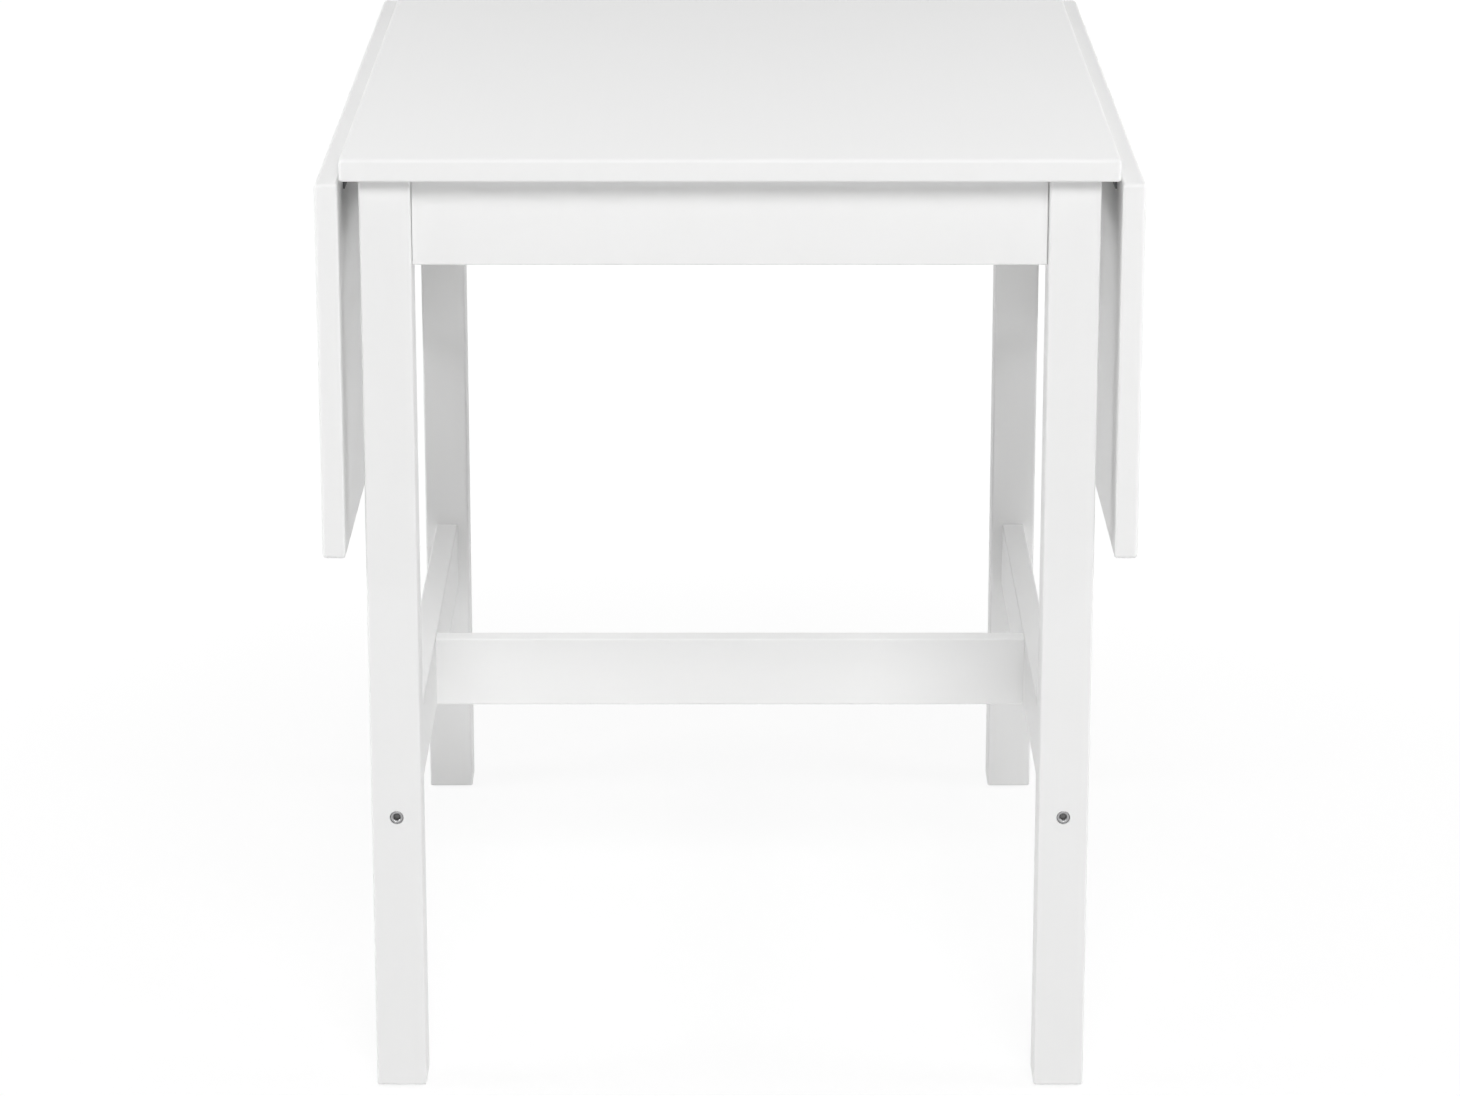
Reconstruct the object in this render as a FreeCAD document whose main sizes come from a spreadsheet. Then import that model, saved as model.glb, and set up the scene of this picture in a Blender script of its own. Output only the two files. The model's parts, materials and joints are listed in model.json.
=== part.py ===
import FreeCAD, Part
import math
import os
import Sketcher

# Drop-leaf dining table with both leaves hanging. Millimetres, +Z up, origin on the floor under the
# middle of the top. X runs across the hinges, so the left leaf hangs at -X; the front end is at -Y.

DRIVING = (
    ("table_height", 770, "floor to the upper face of the top"),
    ("top_width", 600, "fixed top, from hinge line to hinge line"),
    ("top_depth", 800, "fixed top and leaves, front end to rear end"),
    ("top_thickness", 18, "boards of the top and the leaves"),
    ("leaf_width", 300, "leaf, from its hinge edge to its free edge"),
    ("leaf_gap", 1, "between the top and a raised leaf"),
    ("board_round", 3.5, "corners and show edges of the top and the leaves"),
    ("under_round", 2, "under edges of the top and the leaves"),
    ("leg_side", 40, "side of the square legs"),
    ("leg_side_inset", 14, "leg's outer face in from the top's side edge"),
    ("leg_end_inset", 12, "leg's end face in from the top's end edge"),
    ("leg_round", 2, "edges of the legs"),
    ("apron_height", 70, "aprons, top to bottom"),
    ("apron_thickness", 18, "aprons, face to face"),
    ("apron_recess", 9, "apron's face behind the leg's face"),
    ("rail_round", 1.5, "long edges of the aprons and stretchers"),
    ("stretcher_height", 60, "stretchers, top to bottom"),
    ("stretcher_thickness", 20, "stretchers, face to face"),
    ("stretcher_middle", 232, "floor to the middle of the stretchers"),
    ("hole_fit", 0.1, "round a fixed pin or shank in its hole"),
    ("hole_end", 1, "spare depth at the end of a blind hole"),
    ("glide_diameter", 24, "disc under each leg"),
    ("glide_height", 2, "disc under each leg"),
    ("glide_pin_diameter", 4, "pin of a glide"),
    ("glide_pin_length", 16, "pin of a glide"),
    ("dowel_diameter", 8, "wooden dowels"),
    ("dowel_length", 30, "wooden dowels"),
    ("dowel_chamfer", 0.8, "ends of the dowels"),
    ("stretcher_dowel_spread", 36, "between the two dowels of a stretcher joint"),
    ("end_dowel_spread", 44, "between the two dowels of a front or rear apron joint"),
    ("side_dowel_spread", 24, "between the two dowels of a side apron joint"),
    ("bolt_diameter", 6, "bolts of the stretchers"),
    ("bolt_head_diameter", 10.4, "head of a bolt"),
    ("bolt_head_height", 6, "head of a bolt"),
    ("bolt_head_chamfer", 0.7, "rim of a bolt's head"),
    ("bolt_socket", 5, "key socket, across flats"),
    ("bolt_socket_depth", 3, "key socket"),
    ("bolt_sink", 0.6, "bolt's head below the face that it is let into"),
    ("bolt_head_room", 0.3, "round a bolt's head in its counterbore"),
    ("bolt_past_nut", 5, "bolt's end beyond its barrel nut"),
    ("barrel_diameter", 10, "barrel nut"),
    ("barrel_length", 14, "barrel nut"),
    ("barrel_depth", 25, "barrel nut from the end of its stretcher"),
    ("plate_thickness", 2, "corner plates and top clips"),
    ("plate_height", 45, "corner plate"),
    ("plate_flange", 30, "corner plate's wing along an apron"),
    ("plate_standoff", 10, "corner plate from the leg's inner corner"),
    ("plate_screw_spread", 24, "between the two screws of a corner plate's wing"),
    ("hanger_diameter", 6, "leg stud"),
    ("hanger_grip", 26, "leg stud's length inside the leg"),
    ("hanger_past_nut", 4, "leg stud's end beyond its nut"),
    ("nut_flats", 10, "flange nut, across flats"),
    ("nut_height", 6, "flange nut with its flange"),
    ("nut_flange_diameter", 13, "flange nut's flange"),
    ("nut_flange_height", 1.6, "flange nut's flange"),
    ("clip_leg", 20, "each leg of a top clip"),
    ("clip_width", 18, "top clip"),
    ("clip_screw", 12, "top clip's screw from the clip's corner"),
    ("end_clip_offset", 130, "clip on a front or rear apron from the middle"),
    ("side_clip_offset", 95, "clip on a side apron from the middle"),
    ("screw_diameter", 3.5, "wood screws"),
    ("screw_head_diameter", 6.4, "wood screws, countersunk at a right angle"),
    ("screw_length", 14, "wood screws, head included"),
    ("screw_recess", 1.1, "half width and depth of the cross in a screw's head"),
    ("hinge_length", 60, "hinge, along the joint"),
    ("hinge_end_inset", 58, "hinge from the end of the top"),
    ("wing_width", 17, "hinge wing from the pin's axis"),
    ("wing_thickness", 1.5, "hinge wing"),
    ("wing_screw", 10.5, "hinge's screws from the pin's axis"),
    ("wing_screw_spread", 40, "between the outer screws of a hinge wing"),
    ("knuckle_diameter", 6, "hinge knuckle"),
    ("knuckle_gap", 0.4, "between neighbouring knuckles"),
    ("knuckle_room", 0.5, "round a knuckle in the boards and the other wing"),
    ("pin_diameter", 3, "hinge pin"),
    ("running_fit", 0.05, "round a pin or rivet that its piece turns on"),
    ("stay_offset", 150, "stay from the middle of the table"),
    ("stay_reach", 150, "leaf pivot of a stay from the hinge's axis"),
    ("stay_rise", 9, "apron pivot of a stay above the apron's lower edge"),
    ("stay_standoff", 10, "pivots of a stay from the faces that carry them"),
    ("bracket_thickness", 2, "stay's brackets"),
    ("bracket_width", 22, "stay's bracket along the face that carries it"),
    ("bracket_height", 36, "stay's bracket up and down"),
    ("bracket_lift", 3, "apron bracket above the apron's lower edge"),
    ("bracket_screw_spread", 20, "between the two screws of a bracket"),
    ("arm_width", 12, "stay's arms"),
    ("arm_thickness", 2.5, "stay's arms"),
    ("layer_gap", 0.3, "between neighbouring plates of a stay"),
    ("rivet_diameter", 5, "stay's rivets"),
    ("rivet_head_diameter", 9, "stay's rivets"),
    ("rivet_head_height", 1.5, "stay's rivets"),
)

DERIVED = (
    ("underside", "table_height - top_thickness"),
    ("half_width", "top_width / 2"),
    ("half_depth", "top_depth / 2"),
    ("leg_outer_x", "half_width - leg_side_inset"),
    ("leg_inner_x", "leg_outer_x - leg_side"),
    ("leg_middle_x", "leg_outer_x - leg_side / 2"),
    ("leg_outer_y", "half_depth - leg_end_inset"),
    ("leg_inner_y", "leg_outer_y - leg_side"),
    ("leg_middle_y", "leg_outer_y - leg_side / 2"),
    ("apron_low", "underside - apron_height"),
    ("apron_middle", "underside - apron_height / 2"),
    ("apron_outer_x", "leg_outer_x - apron_recess"),
    ("apron_inner_x", "apron_outer_x - apron_thickness"),
    ("apron_outer_y", "leg_outer_y - apron_recess"),
    ("apron_inner_y", "apron_outer_y - apron_thickness"),
    ("stretcher_low", "stretcher_middle - stretcher_height / 2"),
    ("stretcher_outer_x", "leg_middle_x + stretcher_thickness / 2"),
    ("stretcher_inner_x", "leg_middle_x - stretcher_thickness / 2"),
    ("bolt_in_nut", "barrel_depth + barrel_diameter / 2 + bolt_past_nut"),
    ("leg_bolt_length", "leg_side - bolt_sink + bolt_in_nut"),
    ("cross_bolt_length", "stretcher_thickness - bolt_sink + bolt_in_nut"),
    ("plate_foot_x", "leg_inner_x - (apron_inner_y - leg_inner_y) - plate_standoff * sqrt(2)"),
    ("plate_foot_y", "leg_inner_y - (apron_inner_x - leg_inner_x) - plate_standoff * sqrt(2)"),
    ("plate_mitre", "plate_thickness * (sqrt(2) - 1)"),
    ("nut_seat", "plate_standoff + plate_thickness"),
    ("hinge_x", "half_width + leaf_gap / 2"),
    ("hinge_y", "half_depth - hinge_end_inset - hinge_length / 2"),
    ("hinge_z", "underside - wing_thickness / 2"),
    ("leaf_inner_x", "hinge_x + wing_thickness / 2"),
    ("leaf_outer_x", "leaf_inner_x + top_thickness"),
    ("leaf_high", "hinge_z - leaf_gap / 2"),
    ("leaf_low", "leaf_high - leaf_width"),
    ("knuckle_reach", "knuckle_diameter / 2 + knuckle_room"),
    ("knuckle_end", "hinge_length / 6 - knuckle_gap / 2"),
    ("knuckle_start", "hinge_length / 6 + knuckle_gap / 2"),
    ("screw_head_height", "(screw_head_diameter - screw_diameter) / 2"),
    ("apron_pivot_x", "apron_outer_x + stay_standoff"),
    ("apron_pivot_z", "apron_low + stay_rise"),
    ("leaf_pivot_x", "leaf_inner_x - stay_standoff"),
    ("leaf_pivot_z", "hinge_z - stay_reach"),
    ("raised_pivot_x", "hinge_x + stay_reach"),
    ("raised_pivot_z", "hinge_z - (hinge_x - leaf_pivot_x)"),
    ("fold_x", "apron_pivot_x - leaf_pivot_x"),
    ("fold_z", "apron_pivot_z - leaf_pivot_z"),
    ("fold_span", "hypot(fold_x; fold_z)"),
    ("open_span", "hypot(raised_pivot_x - apron_pivot_x; raised_pivot_z - apron_pivot_z)"),
    ("short_arm", "(open_span - fold_span) / 2"),
    ("elbow_x", "apron_pivot_x + fold_x / fold_span * short_arm"),
    ("elbow_z", "apron_pivot_z + fold_z / fold_span * short_arm"),
    ("rivet_grip", "bracket_thickness + layer_gap + arm_thickness"),
    ("leaf_arm_start", "rivet_grip + layer_gap"),
    ("leaf_ear_start", "leaf_arm_start - layer_gap - bracket_thickness"),
)

SIDES = (("left", -1), ("right", 1))
ENDS = (("front", -1), ("rear", 1))
PAIR = (-1, 1)
UP = FreeCAD.Vector(0, 0, 1)
TOOL_LEAD = 2
CONE_TIP = 2
SAME_PLACE = 0.001

doc = FreeCAD.newDocument("drop_leaf_table")
sheet = doc.addObject("Spreadsheet::Sheet", "dim")
nodes = []


def fill_sheet():
    """Write the driving sizes, then the places worked out from them."""
    for row, (alias, size, meaning) in enumerate(DRIVING, 1):
        sheet.set(f"A{row}", meaning)
        sheet.set(f"B{row}", str(size))
        sheet.setAlias(f"B{row}", alias)
    for row, (alias, formula) in enumerate(DERIVED, len(DRIVING) + 1):
        sheet.set(f"A{row}", alias.replace("_", " "))
        sheet.set(f"B{row}", "=" + formula)
        sheet.setAlias(f"B{row}", alias)
    doc.recompute()


def number(expression):
    """Present value of an expression on the sheet."""
    return float(sheet.evalExpression(expression))


def keep(item, label):
    """Name a finished piece and list it for writing."""
    item.Label = label
    nodes.append(item)


def put(item, at, rotation=None):
    """Place an item by three expressions and a fixed turn."""
    item.Placement = FreeCAD.Placement(FreeCAD.Vector(), rotation or FreeCAD.Rotation())
    for axis, expression in zip("xyz", at):
        item.setExpression(f"Placement.Base.{axis}", expression)


def aim(along):
    """Turn that points an item's own Z along a direction, with its own Y upright where it can be."""
    pointer = FreeCAD.Vector(*along)
    upright = FreeCAD.Vector(0, 1, 0) if abs(pointer.z) > abs(pointer.x) + abs(pointer.y) else UP
    return FreeCAD.Rotation(upright.cross(pointer), upright, pointer, "ZYX")


def span(side, low, high):
    """Start and length of a stretch from low to high on one side of the middle."""
    start = low if side > 0 else f"-({high})"
    return start, f"({high}) - ({low})"


def middle_span(length, centre="0"):
    """Start and length of a stretch about a centre."""
    return f"{centre} - ({length}) / 2", length


def box(x_span, y_span, z_span):
    """Block from three (start, length) stretches."""
    item = doc.addObject("Part::Box", "Block")
    put(item, (x_span[0], y_span[0], z_span[0]))
    item.setExpression("Length", x_span[1])
    item.setExpression("Width", y_span[1])
    item.setExpression("Height", z_span[1])
    return item


def cylinder(diameter, length, at, along):
    """Round bar that starts at a point and runs along a direction."""
    item = doc.addObject("Part::Cylinder", "Bar")
    put(item, at, aim(along))
    item.setExpression("Radius", f"({diameter}) / 2")
    item.setExpression("Height", length)
    return item


def gather(items):
    """Several items as one."""
    item = doc.addObject("Part::Compound", "Set")
    item.Links = items
    return item


def fuse(items):
    """Items that overlap, joined into one solid."""
    item = doc.addObject("Part::MultiFuse", "Joined")
    item.Shapes = items
    return item


def cut(piece, *tools):
    """Take each tool out of a piece in turn."""
    for tool in tools:
        item = doc.addObject("Part::Cut", "Cut")
        item.Base = piece
        item.Tool = tool
        piece = item
    return piece


def copies(form, places):
    """Copies of one form, each at a (point, turn) place, as one item."""
    links = []
    for at, rotation in places:
        link = doc.addObject("App::Link", "Copy")
        link.setLink(form)
        put(link, at, rotation)
        links.append(link)
    return gather(links)


def new_body(name):
    """Empty body for sketched features."""
    return doc.addObject("PartDesign::Body", name)


def sketch_on(body, role, shift):
    """Empty sketch on one of the body's own planes, moved along the plane's normal."""
    sketch = body.newObject("Sketcher::SketchObject", "Outline")
    plane = next(item for item in body.Origin.OriginFeatures if item.Role == role)
    sketch.AttachmentSupport = [(plane, "")]
    sketch.MapMode = "FlatFace"
    sketch.setExpression("AttachmentOffset.Base.z", shift)
    return sketch


def hold(sketch, kind, items, expression):
    """Add a dimension to a sketch and bind it to the sheet."""
    index = sketch.addConstraint(Sketcher.Constraint(kind, *items, number(expression)))
    sketch.setExpression(f"Constraints[{index}]", expression)


def hold_point(sketch, geometry, point, place):
    """Fix a point of a sketch at a place given by two expressions."""
    hold(sketch, "DistanceX", (-1, 1, geometry, point), place[0])
    hold(sketch, "DistanceY", (-1, 1, geometry, point), place[1])


def polygon(body, role, corners, shift="0"):
    """Sketch of straight lines through corners that the sheet places."""
    sketch = sketch_on(body, role, shift)
    points = [FreeCAD.Vector(number(x), number(y), 0) for x, y in corners]
    for start, end in zip(points, points[1:] + points[:1]):
        sketch.addGeometry(Part.LineSegment(start, end), False)
    for index in range(len(points)):
        following = (index + 1) % len(points)
        sketch.addConstraint(Sketcher.Constraint("Coincident", index, 2, following, 1))
    for index, corner in enumerate(corners):
        hold_point(sketch, index, 1, corner)
    return sketch


def add_circle(sketch, centre, diameter):
    """Circle in a sketch, with its centre and size from the sheet."""
    point = FreeCAD.Vector(number(centre[0]), number(centre[1]), 0)
    circle = sketch.addGeometry(Part.Circle(point, UP, number(diameter) / 2), False)
    hold_point(sketch, circle, 3, centre)
    hold(sketch, "Diameter", (circle,), diameter)


def add_slot(sketch, start, end, width):
    """Round-ended bar in a sketch between two centres from the sheet."""
    first = FreeCAD.Vector(number(start[0]), number(start[1]), 0)
    last = FreeCAD.Vector(number(end[0]), number(end[1]), 0)
    radius = number(width) / 2
    heading = math.atan2(last.y - first.y, last.x - first.x)
    quarter = math.pi / 2
    aside = FreeCAD.Vector(math.cos(heading + quarter), math.sin(heading + quarter), 0) * radius
    near = Part.ArcOfCircle(Part.Circle(first, UP, radius), heading + quarter, heading + 3 * quarter)
    far = Part.ArcOfCircle(Part.Circle(last, UP, radius), heading - quarter, heading + quarter)
    near_end = sketch.addGeometry(near, False)
    far_end = sketch.addGeometry(far, False)
    right = sketch.addGeometry(Part.LineSegment(first - aside, last - aside), False)
    left = sketch.addGeometry(Part.LineSegment(last + aside, first + aside), False)
    for line, tail, head in ((right, near_end, far_end), (left, far_end, near_end)):
        sketch.addConstraint(Sketcher.Constraint("Tangent", line, 1, tail, 2))
        sketch.addConstraint(Sketcher.Constraint("Tangent", line, 2, head, 1))
    sketch.addConstraint(Sketcher.Constraint("Equal", near_end, far_end))
    hold_point(sketch, near_end, 3, start)
    hold_point(sketch, far_end, 3, end)
    hold(sketch, "Diameter", (near_end,), width)


def pad(body, sketch, length):
    """Raise a sketch along its normal."""
    feature = body.newObject("PartDesign::Pad", "Raised")
    feature.Profile = sketch
    feature.setExpression("Length", length)
    return feature


def pocket(body, sketch, depth, reverse=False):
    """Sink a sketch into the body, and check that it took something away."""
    doc.recompute()
    before = body.Shape.Volume
    feature = body.newObject("PartDesign::Pocket", "Sunk")
    feature.Profile = sketch
    feature.Reversed = reverse
    feature.setExpression("Length", depth)
    doc.recompute()
    if body.Shape.Volume >= before:
        raise RuntimeError(f"a pocket in {body.Name} cuts nothing")


def turned(name, profile):
    """Body turned about Z from a profile of (radius, height) corners."""
    body = new_body(name)
    sketch = polygon(body, "XZ_Plane", profile)
    feature = body.newObject("PartDesign::Revolution", "Turned")
    feature.Profile = sketch
    feature.ReferenceAxis = (sketch, ["V_Axis"])
    feature.Angle = 360
    return body


def rectangle(x_span, y_span):
    """Corners of a rectangle from two (start, length) stretches."""
    x_low, y_low = x_span[0], y_span[0]
    x_high = f"{x_low} + ({x_span[1]})"
    y_high = f"{y_low} + ({y_span[1]})"
    return [(x_low, y_low), (x_high, y_low), (x_high, y_high), (x_low, y_high)]


def board(name, x_span, y_span, z_span, *roundings):
    """Wooden blank, rounded in turn by each radius on the edges that its test picks."""
    body = new_body(name + "_blank")
    feature = pad(body, polygon(body, "XY_Plane", rectangle(x_span, y_span), z_span[0]), z_span[1])
    for radius, is_rounded in roundings:
        doc.recompute()
        edges = enumerate(feature.Shape.Edges, 1)
        picked = [f"Edge{index}" for index, edge in edges if is_rounded(edge)]
        rounded = body.newObject("PartDesign::Fillet", "Rounded")
        rounded.Base = (feature, picked)
        rounded.setExpression("Radius", radius)
        feature = rounded
    return body


def on_face(axis, place):
    """Test for edges that lie on the flat face at a place along one axis."""
    return lambda edge: abs(edge.CenterOfMass[axis] - number(place)) < SAME_PLACE


def off_face(axis, place):
    """Test for edges that don't lie on the flat face at a place along one axis."""
    return lambda edge: not on_face(axis, place)(edge)


def runs_along(axis):
    """Test for edges that run along one axis."""
    return lambda edge: abs(edge.tangentAt(edge.FirstParameter)[axis]) > 0.9


def low_edges_along(axis):
    """Test for edges that run along one axis at the apron's lower edge."""
    return lambda edge: runs_along(axis)(edge) and on_face(2, "dim.apron_low")(edge)


def make_screw():
    """Wood screw with a cross in its head, driven along +Z from the face of the head."""
    head = "dim.screw_head_diameter / 2"
    shank = "dim.screw_diameter / 2"
    body = turned("screw_form", [
        ("0", "0"),
        (head, "0"),
        (shank, "dim.screw_head_height"),
        (shank, f"dim.screw_length - {CONE_TIP} * dim.screw_diameter / 2"),
        ("0", "dim.screw_length"),
    ])
    arm = "dim.screw_recess"
    slot = "dim.screw_recess / 3"
    quarter = [(arm, slot), (slot, slot), (slot, arm)]
    cross = []
    for x_sign, y_sign in ((1, 1), (-1, 1), (-1, -1), (1, -1)):
        points = [(f"{x_sign} * {x}", f"{y_sign} * {y}") for x, y in quarter]
        cross.extend(points if x_sign == y_sign else points[::-1])
    pocket(body, polygon(body, "XY_Plane", cross), "dim.screw_recess", True)
    return body


def make_screw_hole():
    """Countersunk hole for a screw."""
    head = "dim.screw_head_diameter / 2 + dim.hole_fit"
    shank = "dim.screw_diameter / 2 + dim.hole_fit"
    return turned("screw_hole_form", [
        ("0", f"-{TOOL_LEAD}"),
        (head, f"-{TOOL_LEAD}"),
        (head, "0"),
        (shank, "dim.screw_head_height"),
        (shank, "dim.screw_length + dim.hole_fit"),
        ("0", "dim.screw_length + dim.hole_fit"),
    ])


def make_bolt(name, length):
    """Socket-head bolt driven along +Z from the face of its head."""
    head = "dim.bolt_head_diameter / 2"
    shank = "dim.bolt_diameter / 2"
    body = turned(name, [
        ("0", "0"),
        (f"{head} - dim.bolt_head_chamfer", "0"),
        (head, "dim.bolt_head_chamfer"),
        (head, "dim.bolt_head_height"),
        (shank, "dim.bolt_head_height"),
        (shank, length),
        ("0", length),
    ])
    pocket(body, hexagon(body, "dim.bolt_socket", "0"), "dim.bolt_socket_depth", True)
    return body


def make_bolt_hole(name, length):
    """Counterbored hole for a bolt."""
    head = "dim.bolt_head_diameter / 2 + dim.bolt_head_room"
    shank = "dim.bolt_diameter / 2 + dim.hole_fit"
    return turned(name, [
        ("0", f"-{TOOL_LEAD}"),
        (head, f"-{TOOL_LEAD}"),
        (head, "dim.bolt_head_height"),
        (shank, "dim.bolt_head_height"),
        (shank, f"{length} + dim.hole_end"),
        ("0", f"{length} + dim.hole_end"),
    ])


def hexagon(body, flats, shift):
    """Six-sided sketch about the body's axis, given its size across flats."""
    corners = []
    for step in range(6):
        turn = f"{60 * step} deg"
        reach = f"{flats} / sqrt(3)"
        corners.append((f"{reach} * cos({turn})", f"{reach} * sin({turn})"))
    return polygon(body, "XY_Plane", corners, shift)


def make_dowel(name, room, spare):
    """Dowel about its own middle along Z, or its hole with room round it and spare depth."""
    radius = f"dim.dowel_diameter / 2 + {room}"
    end = f"dim.dowel_length / 2 + {spare}"
    chamfer = "dim.dowel_chamfer"
    return turned(name, [
        ("0", f"-({end})"),
        (f"{radius} - {chamfer}", f"-({end})"),
        (radius, f"-({end}) + {chamfer}"),
        (radius, f"{end} - {chamfer}"),
        (f"{radius} - {chamfer}", end),
        ("0", end),
    ])


def make_glide():
    """Foot disc on the floor, with a pin up into the leg."""
    pin = "dim.glide_pin_diameter / 2"
    tip = "dim.glide_height + dim.glide_pin_length"
    return turned("glide_form", [
        ("0", "0"),
        ("dim.glide_diameter / 2", "0"),
        ("dim.glide_diameter / 2", "dim.glide_height"),
        (pin, "dim.glide_height"),
        (pin, f"{tip} - {CONE_TIP} * {pin}"),
        ("0", tip),
    ])


def make_nut():
    """Hexagon nut on a round flange, along Z from its seat."""
    body = turned("nut_form", [
        ("0", "0"),
        ("dim.nut_flange_diameter / 2", "0"),
        ("dim.nut_flange_diameter / 2", "dim.nut_flange_height"),
        ("0", "dim.nut_flange_height"),
    ])
    rest = "dim.nut_height - dim.nut_flange_height"
    pad(body, hexagon(body, "dim.nut_flats", "dim.nut_flange_height"), rest)
    bore = sketch_on(body, "XY_Plane", "0")
    add_circle(bore, ("0", "0"), "dim.hanger_diameter + 2 * dim.hole_fit")
    pocket(body, bore, "dim.nut_height", True)
    return body


def make_rivet():
    """Rivet along Z, its head below the seat and its shank flush with the far plate."""
    head = "dim.rivet_head_diameter / 2"
    shank = "dim.rivet_diameter / 2"
    return turned("rivet_form", [
        ("0", "-dim.rivet_head_height"),
        (f"{head} - dim.rivet_head_height / 2", "-dim.rivet_head_height"),
        (head, "-dim.rivet_head_height / 2"),
        (head, "0"),
        (shank, "0"),
        (shank, "dim.rivet_grip"),
        ("0", "dim.rivet_grip"),
    ])


def corners_of_frame():
    """Name and signs of each corner of the frame."""
    return [(f"{end_name}_{side_name}", side, end) for end_name, end in ENDS for side_name, side in SIDES]


fill_sheet()

# Where the fasteners sit: each place is a point and a turn.
leg_bolt_places = []
stretcher_dowel_places = []
apron_dowel_places = []
glide_places = []
hanger_places = []
plate_screw_places = []
for _, side, end in corners_of_frame():
    leg_x = f"{side} * dim.leg_middle_x"
    joint_y = f"{end} * dim.leg_inner_y"
    bolt_y = f"{end} * (dim.leg_outer_y - dim.bolt_sink)"
    leg_bolt_places.append(((leg_x, bolt_y, "dim.stretcher_middle"), aim((0, -end, 0))))
    glide_places.append(((leg_x, f"{end} * dim.leg_middle_y", "0"), aim((0, 0, 1))))
    inner_corner = (f"{side} * dim.leg_inner_x", joint_y, "dim.apron_middle")
    hanger_places.append((inner_corner, aim((-side, -end, 0))))
    end_apron_y = f"{end} * (dim.apron_outer_y - dim.apron_thickness / 2)"
    side_apron_x = f"{side} * (dim.apron_outer_x - dim.apron_thickness / 2)"
    for level in PAIR:
        stretcher_z = f"dim.stretcher_middle + {level} * dim.stretcher_dowel_spread / 2"
        end_z = f"dim.apron_middle + {level} * dim.end_dowel_spread / 2"
        side_z = f"dim.apron_middle + {level} * dim.side_dowel_spread / 2"
        plate_z = f"dim.apron_middle + {level} * dim.plate_screw_spread / 2"
        stretcher_dowel_places.append(((leg_x, joint_y, stretcher_z), aim((0, 1, 0))))
        apron_dowel_places.append(((f"{side} * dim.leg_inner_x", end_apron_y, end_z), aim((1, 0, 0))))
        apron_dowel_places.append(((side_apron_x, joint_y, side_z), aim((0, 1, 0))))
        plate_screw_places.append(((
            f"{side} * (dim.plate_foot_x - dim.plate_flange / 2)",
            f"{end} * (dim.apron_inner_y - dim.plate_thickness)",
            plate_z,
        ), aim((0, end, 0))))
        plate_screw_places.append(((
            f"{side} * (dim.apron_inner_x - dim.plate_thickness)",
            f"{end} * (dim.plate_foot_y - dim.plate_flange / 2)",
            plate_z,
        ), aim((side, 0, 0))))

cross_bolt_places = []
for side in PAIR:
    bolt_x = f"{side} * (dim.stretcher_outer_x - dim.bolt_sink)"
    cross_bolt_places.append(((bolt_x, "0", "dim.stretcher_middle"), aim((-side, 0, 0))))
    for level in PAIR:
        stretcher_z = f"dim.stretcher_middle + {level} * dim.stretcher_dowel_spread / 2"
        at = (f"{side} * dim.stretcher_inner_x", "0", stretcher_z)
        stretcher_dowel_places.append((at, aim((1, 0, 0))))

clip_places = []
clip_screw_places = []
for sign in PAIR:
    for offset in PAIR:
        end_x = f"{offset} * dim.end_clip_offset"
        end_y = f"{sign} * dim.apron_inner_y"
        clip_places.append(((end_x, end_y, "dim.underside"), FreeCAD.Rotation(UP, -90 * sign)))
        low_z = "dim.underside - dim.clip_screw"
        face_z = "dim.underside - dim.plate_thickness"
        plate_y = f"{sign} * (dim.apron_inner_y - dim.plate_thickness)"
        under_y = f"{sign} * (dim.apron_inner_y - dim.clip_screw)"
        clip_screw_places.append(((end_x, plate_y, low_z), aim((0, sign, 0))))
        clip_screw_places.append(((end_x, under_y, face_z), aim((0, 0, 1))))
        side_x = f"{sign} * dim.apron_inner_x"
        side_y = f"{offset} * dim.side_clip_offset"
        clip_places.append(((side_x, side_y, "dim.underside"), FreeCAD.Rotation(UP, 90 * sign + 90)))
        plate_x = f"{sign} * (dim.apron_inner_x - dim.plate_thickness)"
        under_x = f"{sign} * (dim.apron_inner_x - dim.clip_screw)"
        clip_screw_places.append(((plate_x, side_y, low_z), aim((sign, 0, 0))))
        clip_screw_places.append(((under_x, side_y, face_z), aim((0, 0, 1))))

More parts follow.
